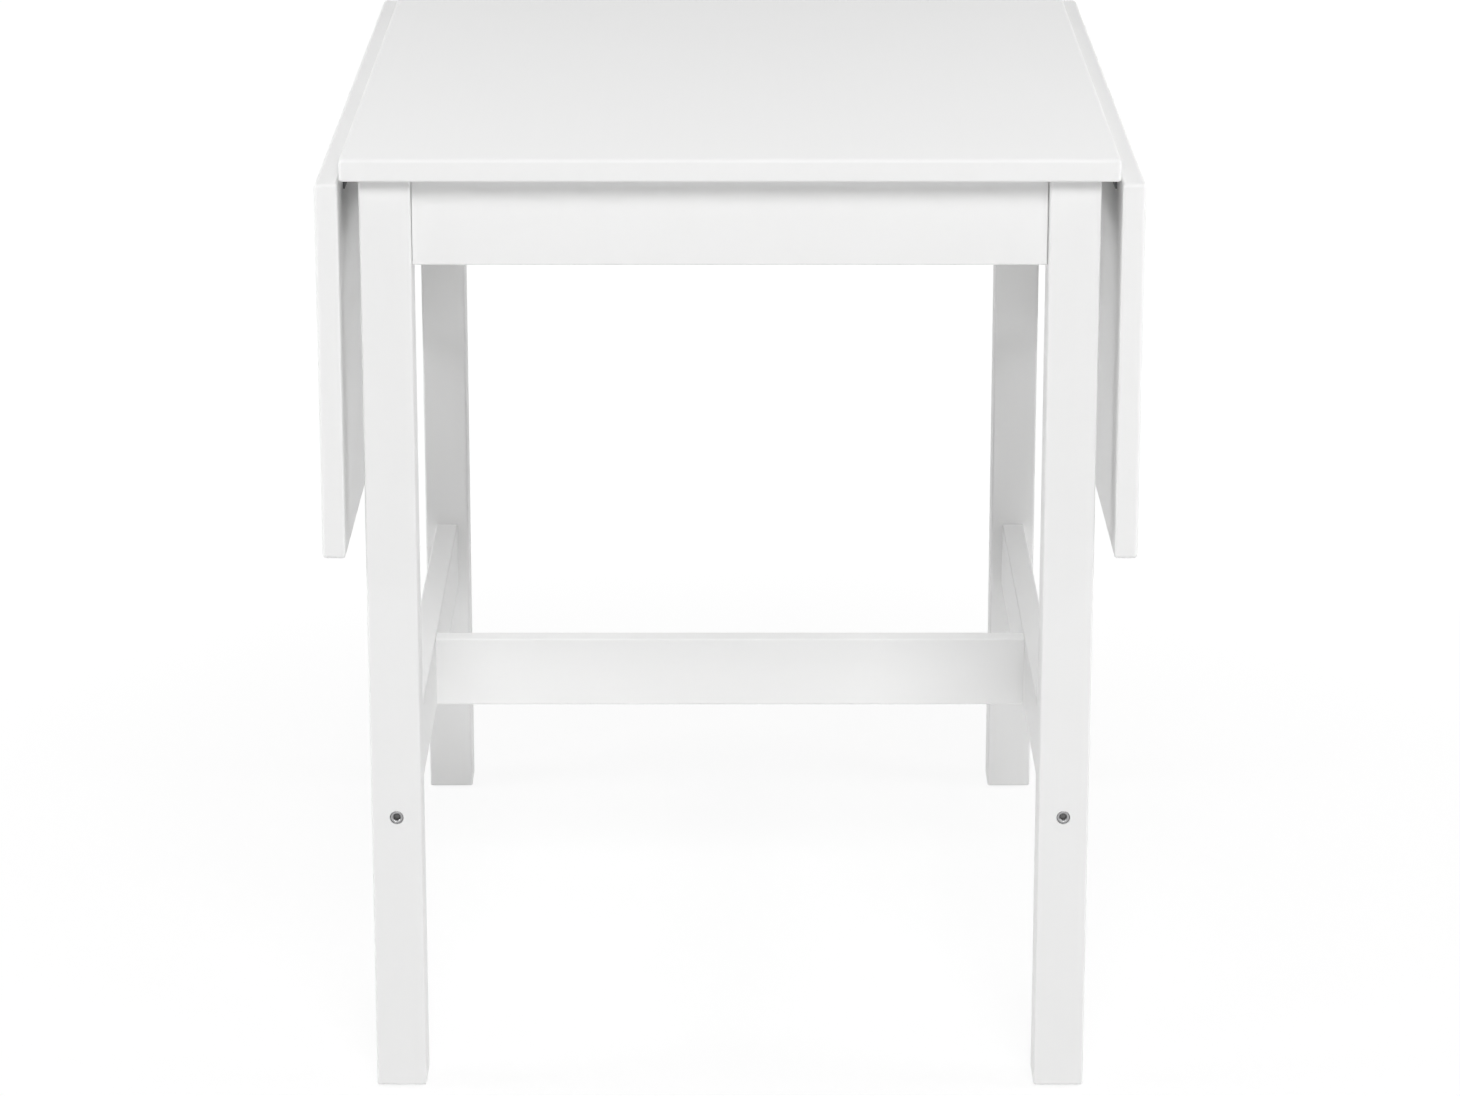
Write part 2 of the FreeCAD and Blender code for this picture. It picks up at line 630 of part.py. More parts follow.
top_wing_screw_places = []
bracket_screw_places = []
leaf_screw_places = {-1: [], 1: []}
hinge_pin_places = []
apron_rivet_places = []
leaf_rivet_places = {-1: [], 1: []}
for _, side, end in corners_of_frame():
    for step in (-1, 0, 1):
        screw_y = f"{end} * dim.hinge_y + {step} * dim.wing_screw_spread / 2"
        top_x = f"{side} * (dim.hinge_x - dim.wing_screw)"
        top_z = "dim.underside - dim.wing_thickness"
        top_wing_screw_places.append(((top_x, screw_y, top_z), aim((0, 0, 1))))
        leaf_x = f"{side} * (dim.leaf_inner_x - dim.wing_thickness)"
        leaf_z = "dim.hinge_z - dim.wing_screw"
        leaf_screw_places[side].append(((leaf_x, screw_y, leaf_z), aim((side, 0, 0))))
    pin_y = f"{end} * dim.hinge_y - dim.hinge_length / 2"
    hinge_pin_places.append(((f"{side} * dim.hinge_x", pin_y, "dim.hinge_z"), aim((0, 1, 0))))
    stay_y = f"{end} * dim.stay_offset"
    leaf_ear_y = f"{stay_y} + dim.leaf_ear_start"
    apron_pivot = (f"{side} * dim.apron_pivot_x", stay_y, "dim.apron_pivot_z")
    leaf_pivot = (f"{side} * dim.leaf_pivot_x", leaf_ear_y, "dim.leaf_pivot_z")
    apron_rivet_places.append((apron_pivot, aim((0, 1, 0))))
    leaf_rivet_places[side].append((leaf_pivot, aim((0, 1, 0))))
    for level in PAIR:
        rise = f"{level} * dim.bracket_screw_spread / 2"
        apron_screw = (
            f"{side} * (dim.apron_outer_x + dim.bracket_thickness)",
            f"{stay_y} - dim.bracket_width / 2",
            f"dim.apron_low + dim.bracket_lift + dim.bracket_height / 2 + {rise}",
        )
        bracket_screw_places.append((apron_screw, aim((-side, 0, 0))))
        leaf_screw = (
            f"{side} * (dim.leaf_inner_x - dim.bracket_thickness)",
            f"{leaf_ear_y} - dim.bracket_width / 2",
            f"dim.leaf_pivot_z + {rise}",
        )
        leaf_screw_places[side].append((leaf_screw, aim((side, 0, 0))))

# Fastener forms, each about the origin, and the holes that they need.
screw_form = make_screw()
screw_hole_form = make_screw_hole()
leg_bolt_form = make_bolt("leg_bolt_form", "dim.leg_bolt_length")
cross_bolt_form = make_bolt("cross_bolt_form", "dim.cross_bolt_length")
leg_bolt_holes = copies(make_bolt_hole("leg_bolt_hole_form", "dim.leg_bolt_length"), leg_bolt_places)
cross_bolt_holes = copies(make_bolt_hole("cross_bolt_hole_form", "dim.cross_bolt_length"), cross_bolt_places)
dowel_form = make_dowel("dowel_form", "0", "0")
dowel_hole_form = make_dowel("dowel_hole_form", "dim.hole_fit", "dim.hole_end")
stretcher_dowel_holes = copies(dowel_hole_form, stretcher_dowel_places)
apron_dowel_holes = copies(dowel_hole_form, apron_dowel_places)
hanger_end = "dim.nut_seat + dim.nut_height + dim.hanger_past_nut"
hanger_depth = "dim.hanger_grip + dim.hole_end"
hanger_form = gather([cylinder(
    "dim.hanger_diameter",
    f"dim.hanger_grip + {hanger_end}",
    ("0", "0", "-dim.hanger_grip"),
    UP,
)])
hanger_hole_form = gather([cylinder(
    "dim.hanger_diameter + 2 * dim.hole_fit",
    f"{hanger_depth} + {hanger_end}",
    ("0", "0", f"-({hanger_depth})"),
    UP,
)])
hanger_holes = copies(hanger_hole_form, hanger_places)
glide_hole_form = gather([cylinder(
    "dim.glide_pin_diameter + 2 * dim.hole_fit",
    "dim.glide_height + dim.glide_pin_length + dim.hole_end",
    ("0", "0", "0"),
    UP,
)])
glide_holes = copies(glide_hole_form, glide_places)
plate_screw_holes = copies(screw_hole_form, plate_screw_places)
clip_screw_holes = copies(screw_hole_form, clip_screw_places)
top_wing_screw_holes = copies(screw_hole_form, top_wing_screw_places)
bracket_screw_holes = copies(screw_hole_form, bracket_screw_places)
leaf_screw_holes = {side: copies(screw_hole_form, leaf_screw_places[side]) for side in PAIR}


def barrel_hole(x, y):
    """Upright hole for a barrel nut, open at the stretcher's lower edge."""
    start = f"dim.stretcher_low - {TOOL_LEAD}"
    length = f"dim.stretcher_height / 2 + dim.barrel_length / 2 + dim.hole_end + {TOOL_LEAD}"
    return cylinder("dim.barrel_diameter + 2 * dim.hole_fit", length, (x, y, start), UP)


barrel_places = []
side_barrel_holes = []
for _, side, end in corners_of_frame():
    barrel_x = f"{side} * dim.leg_middle_x"
    barrel_y = f"{end} * (dim.leg_inner_y - dim.barrel_depth)"
    barrel_places.append(((barrel_x, barrel_y, "dim.stretcher_middle"), aim((0, -end, 0))))
    side_barrel_holes.append(barrel_hole(barrel_x, barrel_y))
cross_barrel_holes = []
for side in PAIR:
    barrel_x = f"{side} * (dim.stretcher_inner_x - dim.barrel_depth)"
    barrel_places.append(((barrel_x, "0", "dim.stretcher_middle"), aim((-side, 0, 0))))
    cross_barrel_holes.append(barrel_hole(barrel_x, "0"))
side_barrel_holes = gather(side_barrel_holes)
cross_barrel_holes = gather(cross_barrel_holes)

# Top and leaves, with rebates for the hinge knuckles.
full_depth = middle_span("dim.top_depth")
hinge_rebate_length = "dim.hinge_length + 2 * dim.knuckle_room"
top_rebates = []
leaf_rebates = {-1: [], 1: []}
for _, side, end in corners_of_frame():
    rebate_y = middle_span(hinge_rebate_length, f"{end} * dim.hinge_y")
    top_rebates.append(box(
        span(side, "dim.hinge_x - dim.knuckle_reach", "dim.hinge_x"),
        rebate_y,
        (f"dim.underside - {TOOL_LEAD}", f"dim.hinge_z + dim.knuckle_reach - dim.underside + {TOOL_LEAD}"),
    ))
    leaf_rebates[side].append(box(
        span(side, f"dim.leaf_inner_x - {TOOL_LEAD}", "dim.hinge_x + dim.knuckle_reach"),
        rebate_y,
        ("dim.hinge_z - dim.knuckle_reach", "dim.knuckle_reach"),
    ))
top_blank = board(
    "table_top", middle_span("dim.top_width"), full_depth, ("dim.underside", "dim.top_thickness"),
    ("dim.board_round", off_face(2, "dim.underside")), ("dim.under_round", on_face(2, "dim.underside")),
)
keep(cut(top_blank, gather(top_rebates), top_wing_screw_holes, clip_screw_holes), "table_top")
for side_name, side in SIDES:
    under_face = f"{side} * dim.leaf_inner_x"
    leaf_blank = board(
        f"{side_name}_leaf", span(side, "dim.leaf_inner_x", "dim.leaf_outer_x"), full_depth,
        ("dim.leaf_low", "dim.leaf_width"), ("dim.board_round", off_face(0, under_face)),
        ("dim.under_round", on_face(0, under_face)),
    )
    keep(cut(leaf_blank, gather(leaf_rebates[side]), leaf_screw_holes[side]), f"{side_name}_leaf")

# Legs.
for corner_name, side, end in corners_of_frame():
    leg_blank = board(
        f"{corner_name}_leg", span(side, "dim.leg_inner_x", "dim.leg_outer_x"),
        span(end, "dim.leg_inner_y", "dim.leg_outer_y"), span(1, "dim.glide_height", "dim.underside"),
        ("dim.leg_round", off_face(2, "dim.underside")),
    )
    leg = cut(leg_blank, leg_bolt_holes, stretcher_dowel_holes, apron_dowel_holes, hanger_holes, glide_holes)
    keep(leg, f"{corner_name}_leg")

# Aprons between the legs.
apron_upright = ("dim.apron_low", "dim.apron_height")
for end_name, end in ENDS:
    end_apron_blank = board(
        f"{end_name}_apron", middle_span("2 * dim.leg_inner_x"),
        span(end, "dim.apron_inner_y", "dim.apron_outer_y"), apron_upright,
        ("dim.rail_round", low_edges_along(0)),
    )
    keep(cut(end_apron_blank, apron_dowel_holes, plate_screw_holes, clip_screw_holes), f"{end_name}_apron")
for side_name, side in SIDES:
    side_apron_blank = board(
        f"{side_name}_apron", span(side, "dim.apron_inner_x", "dim.apron_outer_x"),
        middle_span("2 * dim.leg_inner_y"), apron_upright,
        ("dim.rail_round", low_edges_along(1)),
    )
    side_apron = cut(
        side_apron_blank, apron_dowel_holes, plate_screw_holes, clip_screw_holes, bracket_screw_holes
    )
    keep(side_apron, f"{side_name}_apron")

# Stretchers: one along each side, and one across between their middles.
stretcher_upright = ("dim.stretcher_low", "dim.stretcher_height")
for side_name, side in SIDES:
    side_stretcher_blank = board(
        f"{side_name}_stretcher", span(side, "dim.stretcher_inner_x", "dim.stretcher_outer_x"),
        middle_span("2 * dim.leg_inner_y"), stretcher_upright, ("dim.rail_round", runs_along(1)),
    )
    side_stretcher = cut(
        side_stretcher_blank, stretcher_dowel_holes, side_barrel_holes, leg_bolt_holes, cross_bolt_holes
    )
    keep(side_stretcher, f"{side_name}_stretcher")
cross_stretcher_blank = board(
    "cross_stretcher", middle_span("2 * dim.stretcher_inner_x"), middle_span("dim.stretcher_thickness"),
    stretcher_upright, ("dim.rail_round", runs_along(0)),
)
cross_stretcher = cut(cross_stretcher_blank, stretcher_dowel_holes, cross_barrel_holes, cross_bolt_holes)
keep(cross_stretcher, "cross_stretcher")

# Steel corner plates that draw the legs against the aprons.
for corner_name, side, end in corners_of_frame():
    outline = [
        ("dim.plate_foot_x - dim.plate_flange", "dim.apron_inner_y"),
        ("dim.plate_foot_x", "dim.apron_inner_y"),
        ("dim.apron_inner_x", "dim.plate_foot_y"),
        ("dim.apron_inner_x", "dim.plate_foot_y - dim.plate_flange"),
        ("dim.apron_inner_x - dim.plate_thickness", "dim.plate_foot_y - dim.plate_flange"),
        ("dim.apron_inner_x - dim.plate_thickness", "dim.plate_foot_y - dim.plate_mitre"),
        ("dim.plate_foot_x - dim.plate_mitre", "dim.apron_inner_y - dim.plate_thickness"),
        ("dim.plate_foot_x - dim.plate_flange", "dim.apron_inner_y - dim.plate_thickness"),
    ]
    plate_body = new_body(f"{corner_name}_corner_plate_blank")
    plate_outline = polygon(
        plate_body, "XY_Plane", [(f"{side} * ({x})", f"{end} * ({y})") for x, y in outline],
        "dim.apron_middle - dim.plate_height / 2",
    )
    pad(plate_body, plate_outline, "dim.plate_height")
    keep(cut(plate_body, hanger_holes, plate_screw_holes), f"{corner_name}_corner_plate")

# Clips that hold the top down on the aprons.
clip_body = new_body("clip_form")
clip_outline = polygon(clip_body, "XZ_Plane", [
    ("0", "0"),
    ("0", "-dim.clip_leg"),
    ("dim.plate_thickness", "-dim.clip_leg"),
    ("dim.plate_thickness", "-dim.plate_thickness"),
    ("dim.clip_leg", "-dim.plate_thickness"),
    ("dim.clip_leg", "0"),
], "-dim.clip_width / 2")
pad(clip_body, clip_outline, "dim.clip_width")
keep(cut(copies(clip_body, clip_places), clip_screw_holes), "top_clips")

# Hinges: a wing under the top, a wing on the leaf and a pin.
pin_bore = "dim.pin_diameter + 2 * dim.running_fit"
for corner_name, side, end in corners_of_frame():
    axis_x = f"{side} * dim.hinge_x"
    centre_y = f"{end} * dim.hinge_y"
    hinge_span = middle_span("dim.hinge_length", centre_y)
    around_x = middle_span("2 * dim.knuckle_reach", axis_x)
    around_z = middle_span("2 * dim.knuckle_reach", "dim.hinge_z")
    knuckle = "dim.knuckle_diameter"
    outer_length = "dim.hinge_length / 2 - dim.knuckle_start"
    outer_starts = [f"{centre_y} - dim.hinge_length / 2", f"{centre_y} + dim.knuckle_start"]
    middle_start = f"{centre_y} - dim.knuckle_end"
    bore = cylinder(pin_bore, "dim.hinge_length", (axis_x, hinge_span[0], "dim.hinge_z"), (0, 1, 0))
    top_plate = box(
        span(side, "dim.hinge_x - dim.wing_width", "dim.hinge_x"),
        hinge_span,
        ("dim.underside - dim.wing_thickness", "dim.wing_thickness"),
    )
    top_knuckles = [
        cylinder(knuckle, outer_length, (axis_x, start, "dim.hinge_z"), (0, 1, 0)) for start in outer_starts
    ]
    top_notch = box(around_x, middle_span("2 * dim.knuckle_start", centre_y), around_z)
    top_wing = cut(fuse([top_plate] + top_knuckles), top_notch, bore, top_wing_screw_holes)
    keep(top_wing, f"{corner_name}_hinge_top_wing")
    leaf_plate = box(
        span(side, "dim.leaf_inner_x - dim.wing_thickness", "dim.leaf_inner_x"),
        hinge_span,
        ("dim.hinge_z - dim.wing_width", "dim.wing_width"),
    )
    leaf_knuckle = cylinder(knuckle, "2 * dim.knuckle_end", (axis_x, middle_start, "dim.hinge_z"), (0, 1, 0))
    notch_length = "dim.hinge_length / 2 - dim.knuckle_end"
    notch_starts = [f"{centre_y} - dim.hinge_length / 2", f"{centre_y} + dim.knuckle_end"]
    leaf_notches = gather([box(around_x, (start, notch_length), around_z) for start in notch_starts])
    leaf_wing = cut(fuse([leaf_plate, leaf_knuckle]), leaf_notches, bore, leaf_screw_holes[side])
    keep(leaf_wing, f"{corner_name}_hinge_leaf_wing")
pin_form = turned("pin_form", [
    ("0", "0"),
    ("dim.pin_diameter / 2", "0"),
    ("dim.pin_diameter / 2", "dim.hinge_length"),
    ("0", "dim.hinge_length"),
])
keep(copies(pin_form, hinge_pin_places), "hinge_pins")


def stay_bracket(label, flange, ear_x, ear_y, pivot, screw_holes):
    """Plate on a board's face with an ear that stands out to a stay's pivot."""
    start = (pivot[0], ear_y[0], pivot[1])
    ear = box(ear_x, ear_y, middle_span("dim.arm_width", pivot[1]))
    ear_round = cylinder("dim.arm_width", ear_y[1], start, (0, 1, 0))
    hole = cylinder("dim.rivet_diameter + 2 * dim.hole_fit", ear_y[1], start, (0, 1, 0))
    keep(cut(fuse([flange, ear, ear_round]), hole, screw_holes), label)


def stay_arm(label, pivot, elbow, start_y, head_y):
    """Arm from its pivot to the elbow, with its half of the elbow rivet."""
    body = new_body(label)
    sketch = sketch_on(body, "XZ_Plane", f"-({start_y} + dim.arm_thickness)")
    add_slot(sketch, pivot, elbow, "dim.arm_width")
    add_circle(sketch, pivot, "dim.rivet_diameter + 2 * dim.running_fit")
    pad(body, sketch, "dim.arm_thickness")
    head = sketch_on(body, "XZ_Plane", f"-({head_y} + dim.rivet_head_height)")
    add_circle(head, elbow, "dim.rivet_head_diameter")
    pad(body, head, "dim.rivet_head_height")
    keep(body, label)


# Folding stays that hold a leaf up: two brackets and two arms each.
for corner_name, side, end in corners_of_frame():
    stay_y = f"{end} * dim.stay_offset"
    leaf_ear_y = f"{stay_y} + dim.leaf_ear_start"
    apron_point = (f"{side} * dim.apron_pivot_x", "dim.apron_pivot_z")
    leaf_point = (f"{side} * dim.leaf_pivot_x", "dim.leaf_pivot_z")
    elbow_point = (f"{side} * dim.elbow_x", "dim.elbow_z")
    apron_flange = box(
        span(side, "dim.apron_outer_x", "dim.apron_outer_x + dim.bracket_thickness"),
        (f"{stay_y} + dim.bracket_thickness - dim.bracket_width", "dim.bracket_width"),
        ("dim.apron_low + dim.bracket_lift", "dim.bracket_height"),
    )
    stay_bracket(
        f"{corner_name}_apron_bracket",
        apron_flange,
        span(side, "dim.apron_outer_x", "dim.apron_pivot_x"),
        (stay_y, "dim.bracket_thickness"),
        apron_point,
        bracket_screw_holes,
    )
    leaf_flange = box(
        span(side, "dim.leaf_inner_x - dim.bracket_thickness", "dim.leaf_inner_x"),
        (f"{leaf_ear_y} + dim.bracket_thickness - dim.bracket_width", "dim.bracket_width"),
        middle_span("dim.bracket_height", "dim.leaf_pivot_z"),
    )
    stay_bracket(
        f"{corner_name}_leaf_bracket",
        leaf_flange,
        span(side, "dim.leaf_pivot_x", "dim.leaf_inner_x"),
        (leaf_ear_y, "dim.bracket_thickness"),
        leaf_point,
        leaf_screw_holes[side],
    )
    apron_arm_y = f"{stay_y} + dim.bracket_thickness + dim.layer_gap"
    leaf_arm_y = f"{stay_y} + dim.leaf_arm_start"
    stay_arm(
        f"{corner_name}_apron_arm", apron_point, elbow_point, apron_arm_y,
        f"{apron_arm_y} - dim.rivet_head_height",
    )
    stay_arm(
        f"{corner_name}_leaf_arm", leaf_point, elbow_point, leaf_arm_y, f"{leaf_arm_y} + dim.arm_thickness"
    )

# Fasteners, each kind one group of separate solids.
rivet_form = make_rivet()
keep(copies(rivet_form, apron_rivet_places), "apron_pivot_rivets")
for side_name, side in SIDES:
    keep(copies(rivet_form, leaf_rivet_places[side]), f"{side_name}_leaf_pivot_rivets")
    keep(copies(screw_form, leaf_screw_places[side]), f"{side_name}_leaf_screws")
frame_screw_places = plate_screw_places + clip_screw_places + top_wing_screw_places + bracket_screw_places
keep(copies(screw_form, frame_screw_places), "frame_screws")
keep(copies(leg_bolt_form, leg_bolt_places), "leg_bolts")
keep(copies(cross_bolt_form, cross_bolt_places), "cross_bolts")
barrel = cylinder("dim.barrel_diameter", "dim.barrel_length", ("0", "-dim.barrel_length / 2", "0"), (0, 1, 0))
barrel_bore = cylinder(
    "dim.bolt_diameter + 2 * dim.hole_fit", "2 * dim.barrel_diameter", ("0", "0", "-dim.barrel_diameter"), UP
)
keep(copies(cut(barrel, barrel_bore), barrel_places), "barrel_nuts")
keep(copies(dowel_form, stretcher_dowel_places), "stretcher_dowels")
keep(copies(dowel_form, apron_dowel_places), "apron_dowels")
keep(copies(hanger_form, hanger_places), "leg_studs")
nut_form = make_nut()
nut_places = []
for _, side, end in corners_of_frame():
    seat = "dim.nut_seat / sqrt(2)"
    nut_x = f"{side} * (dim.leg_inner_x - {seat})"
    nut_y = f"{end} * (dim.leg_inner_y - {seat})"
    nut_places.append(((nut_x, nut_y, "dim.apron_middle"), aim((-side, -end, 0))))
keep(copies(nut_form, nut_places), "leg_nuts")
keep(copies(make_glide(), glide_places), "foot_glides")

doc.recompute()
faults = [item.Label for item in doc.Objects if {"Invalid", "Error"} & set(item.State)]
faults += [item.Label for item in nodes if item.Shape.isNull() or not item.Shape.isValid()]
if faults:
    raise RuntimeError(f"these pieces failed: {faults}")
os.makedirs("parts", exist_ok=True)
for item in nodes:
    item.Shape.exportStep(f"parts/{item.Label}.step")
print(f"{len(nodes)} nodes, {sum(len(item.Shape.Solids) for item in nodes)} solids")
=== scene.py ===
"""Looks of a white drop-leaf dining table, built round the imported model.

Metres, +Z up. The left leaf hangs at -X, and the front end is at -Y.
"""

import json
import logging
import math
from dataclasses import dataclass
from enum import Enum
from typing import Callable, ClassVar

import bpy
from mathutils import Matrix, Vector

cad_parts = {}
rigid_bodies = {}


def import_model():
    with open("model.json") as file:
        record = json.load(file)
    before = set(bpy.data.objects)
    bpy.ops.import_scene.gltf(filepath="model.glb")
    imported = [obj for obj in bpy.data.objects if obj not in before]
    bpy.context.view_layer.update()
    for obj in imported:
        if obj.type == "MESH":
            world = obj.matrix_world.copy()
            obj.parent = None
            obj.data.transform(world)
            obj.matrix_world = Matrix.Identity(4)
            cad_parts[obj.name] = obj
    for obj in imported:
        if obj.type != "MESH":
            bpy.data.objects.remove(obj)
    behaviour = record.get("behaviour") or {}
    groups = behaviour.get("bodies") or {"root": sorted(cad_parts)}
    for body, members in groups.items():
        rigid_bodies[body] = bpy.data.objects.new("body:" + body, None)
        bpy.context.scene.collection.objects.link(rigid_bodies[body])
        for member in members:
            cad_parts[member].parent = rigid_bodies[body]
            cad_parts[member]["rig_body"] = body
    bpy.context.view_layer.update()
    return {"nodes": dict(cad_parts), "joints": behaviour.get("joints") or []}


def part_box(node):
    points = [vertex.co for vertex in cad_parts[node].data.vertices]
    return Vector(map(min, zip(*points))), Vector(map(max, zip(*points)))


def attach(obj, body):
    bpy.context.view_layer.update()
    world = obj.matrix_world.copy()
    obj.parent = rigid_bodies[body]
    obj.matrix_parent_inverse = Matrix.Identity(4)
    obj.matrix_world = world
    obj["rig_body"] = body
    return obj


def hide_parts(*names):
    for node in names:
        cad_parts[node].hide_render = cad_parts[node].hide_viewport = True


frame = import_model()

LOG = logging.getLogger("table")

Colour = tuple[float, float, float, float]
Stretch = tuple[float, float, float]
EdgeTest = Callable[[Vector, Vector], bool]

PATTERN_MIDDLE = 0.5


class Axis(Enum):
    """Axis of the model, such as the one that a piece's grain runs along."""

    X = 0
    Y = 1
    Z = 2


class Side(Enum):
    """Side of the table that a piece is on."""

    LEFT = -1
    RIGHT = 1


class End(Enum):
    """End of the table that a piece is at."""

    FRONT = -1
    REAR = 1


class Edges(Enum):
    """Edges of a board that are rounded over."""

    LENGTHWISE = "lengthwise"
    LOWER_LENGTHWISE = "lower lengthwise"
    BELOW_TOP = "below top"


CORNERS = [(end, side) for end in End for side in Side]


def corner_name(end: End, side: Side) -> str:
    """Front or rear and left or right, as the nodes spell it."""
    return f"{end.name}_{side.name}".lower()


@dataclass(frozen=True)
class Value:
    """A number that varies over a surface, worked on with Python's operators.

    Attributes:
        paint: Node tree that the number belongs to.
        socket: Output that gives the number.
    """

    paint: "Paint"
    socket: bpy.types.NodeSocket

    def maths(self, operation: str, first: object, second: object) -> "Value":
        """Add one Math node.

        Args:
            operation: Math node's operation.
            first: Number or value for its first socket.
            second: Number or value for its second socket.

        Returns:
            What the node gives.
        """
        made = self.paint.node("ShaderNodeMath", {"operation": operation}, {0: first, 1: second})
        return Value(self.paint, made.outputs[0])

    def __add__(self, other: object) -> "Value":
        """Sum with a number or value."""
        return self.maths("ADD", self, other)

    def __radd__(self, other: object) -> "Value":
        """Sum with a number on the left."""
        return self.maths("ADD", other, self)

    def __sub__(self, other: object) -> "Value":
        """Difference from a number or value."""
        return self.maths("SUBTRACT", self, other)

    def __rsub__(self, other: object) -> "Value":
        """Difference of a number on the left."""
        return self.maths("SUBTRACT", other, self)

    def __mul__(self, other: object) -> "Value":
        """Product with a number or value."""
        return self.maths("MULTIPLY", self, other)

    def __rmul__(self, other: object) -> "Value":
        """Product with a number on the left."""
        return self.maths("MULTIPLY", other, self)

    def __pow__(self, other: object) -> "Value":
        """Power of a number or value."""
        return self.maths("POWER", self, other)

    def at_most(self, limit: object) -> "Value":
        """The smaller of this and a limit."""
        return self.maths("MINIMUM", self, limit)

    def at_least(self, limit: object) -> "Value":
        """The larger of this and a limit."""
        return self.maths("MAXIMUM", self, limit)


class Paint:
    """Adds nodes to one node tree and links them."""

    # Places of a Mix node's colour sockets, whose names it uses for other sockets too.
    MIX_SHARE, MIX_FIRST, MIX_SECOND, MIX_RESULT = 0, 6, 7, 2

    def __init__(self, tree: bpy.types.NodeTree) -> None:
        """Start on an emptied node tree."""
        self.tree = tree
        self.tree.nodes.clear()

    def node(
        self,
        kind: str,
        settings: dict[str, object] | None = None,
        sockets: dict[object, object] | None = None,
    ) -> bpy.types.Node:
        """Add one node.

        Args:
            kind: Node's type.
            settings: Its properties, set first.
            sockets: Numbers, colours or links for its inputs, by name or index.

        Returns:
            The new node.
        """
        added = self.tree.nodes.new(kind)
        for name, setting in (settings or {}).items():
            setattr(added, name, setting)
        for name, given in (sockets or {}).items():
            link = given.socket if isinstance(given, Value) else given
            if isinstance(link, bpy.types.NodeSocket):
                self.tree.links.new(link, added.inputs[name])
            else:
                added.inputs[name].default_value = given
        return added

    def place(self, stretch: Stretch) -> bpy.types.NodeSocket:
        """Object coordinates, multiplied along each axis.

        Args:
            stretch: Multiplier along each axis.

        Returns:
            The stretched coordinates.
        """
        coordinates = self.node("ShaderNodeTexCoord").outputs["Object"]
        mapped = self.node("ShaderNodeMapping", None, {"Vector": coordinates, "Scale": stretch})
        return mapped.outputs["Vector"]

    def noise(self, stretch: Stretch, detail: float, roughness: float = 0.5) -> Value:
        """Cloudy pattern about its middle.

        Args:
            stretch: Lumps to the metre along each axis.
            detail: Octaves of finer lumps.
            roughness: Strength of the finer octaves.

        Returns:
            The pattern, from 0 to 1.
        """
        made = self.node("ShaderNodeTexNoise", None, {
            "Vector": self.place(stretch),
            "Scale": 1.0,
            "Detail": detail,
            "Roughness": roughness,
        })
        return Value(self, made.outputs["Fac"])

    def mix(self, share: Value, first: Colour, second: Colour) -> bpy.types.NodeSocket:
        """Blend of two colours.

        Args:
            share: Share of the second colour.
            first: First colour.
            second: Second colour.

        Returns:
            The blended colour.
        """
        mixed = self.node("ShaderNodeMix", {"data_type": "RGBA"}, {
            self.MIX_SHARE: share,
            self.MIX_FIRST: first,
            self.MIX_SECOND: second,
        })
        return mixed.outputs[self.MIX_RESULT]

    def bump(self, height: Value, distance: float) -> bpy.types.NodeSocket:
        """Normal that follows a height from 0 to 1, over a distance in metres."""
        sockets = {"Height": height, "Strength": 1.0, "Distance": distance}
        return self.node("ShaderNodeBump", None, sockets).outputs["Normal"]

    def surface(self, sockets: dict[object, object]) -> None:
        """End the tree in a Principled surface with the given sockets."""
        shader = self.node("ShaderNodeBsdfPrincipled", None, sockets)
        self.node("ShaderNodeOutputMaterial", None, {"Surface": shader.outputs["BSDF"]})


def even(density: float) -> Stretch:
    """The same number of lumps to the metre along every axis."""
    return (density, density, density)


def grained(grain: Axis, along: float, across: float) -> Stretch:
    """Lumps to the metre for a pattern that is drawn out along the grain.

    Args:
        grain: Axis that the grain runs along.
        along: Lumps to the metre along it.
        across: Lumps to the metre across it.

    Returns:
        Lumps to the metre along each axis.
    """
    return tuple(along if axis is grain else across for axis in Axis)


def weighted(weights: tuple[float, ...], *patterns: Value) -> Value:
    """Sum of patterns, each times its weight."""
    first, *rest = (weight * pattern for weight, pattern in zip(weights, patterns))
    return sum(rest, first)


def swing(middle: float, weights: tuple[float, ...], *patterns: Value) -> Value:
    """Number that swings about its middle with patterns, each times its weight."""
    return middle + weighted(weights, *(pattern - PATTERN_MIDDLE for pattern in patterns))


def new_paint(name: str) -> tuple[bpy.types.Material, Paint]:
    """Start a material.

    Args:
        name: Name of the material.

    Returns:
        The empty material, and the paint for its nodes.
    """
    material = bpy.data.materials.new(name)
    material.use_nodes = True
    return material, Paint(material.node_tree)


@dataclass(frozen=True)
class Finish:
    """Look of a surface, built once under its name."""

    name: str

    def cover(self, paint: Paint) -> None:
        """Add the finish's nodes to an empty material."""
        raise NotImplementedError

    def material(self) -> bpy.types.Material:
        """Build the material, or give the one that already has this name.

        Returns:
            The material.
        """
        known = bpy.data.materials.get(self.name)
        if known:
            return known
        material, paint = new_paint(self.name)
        self.cover(paint)
        return material


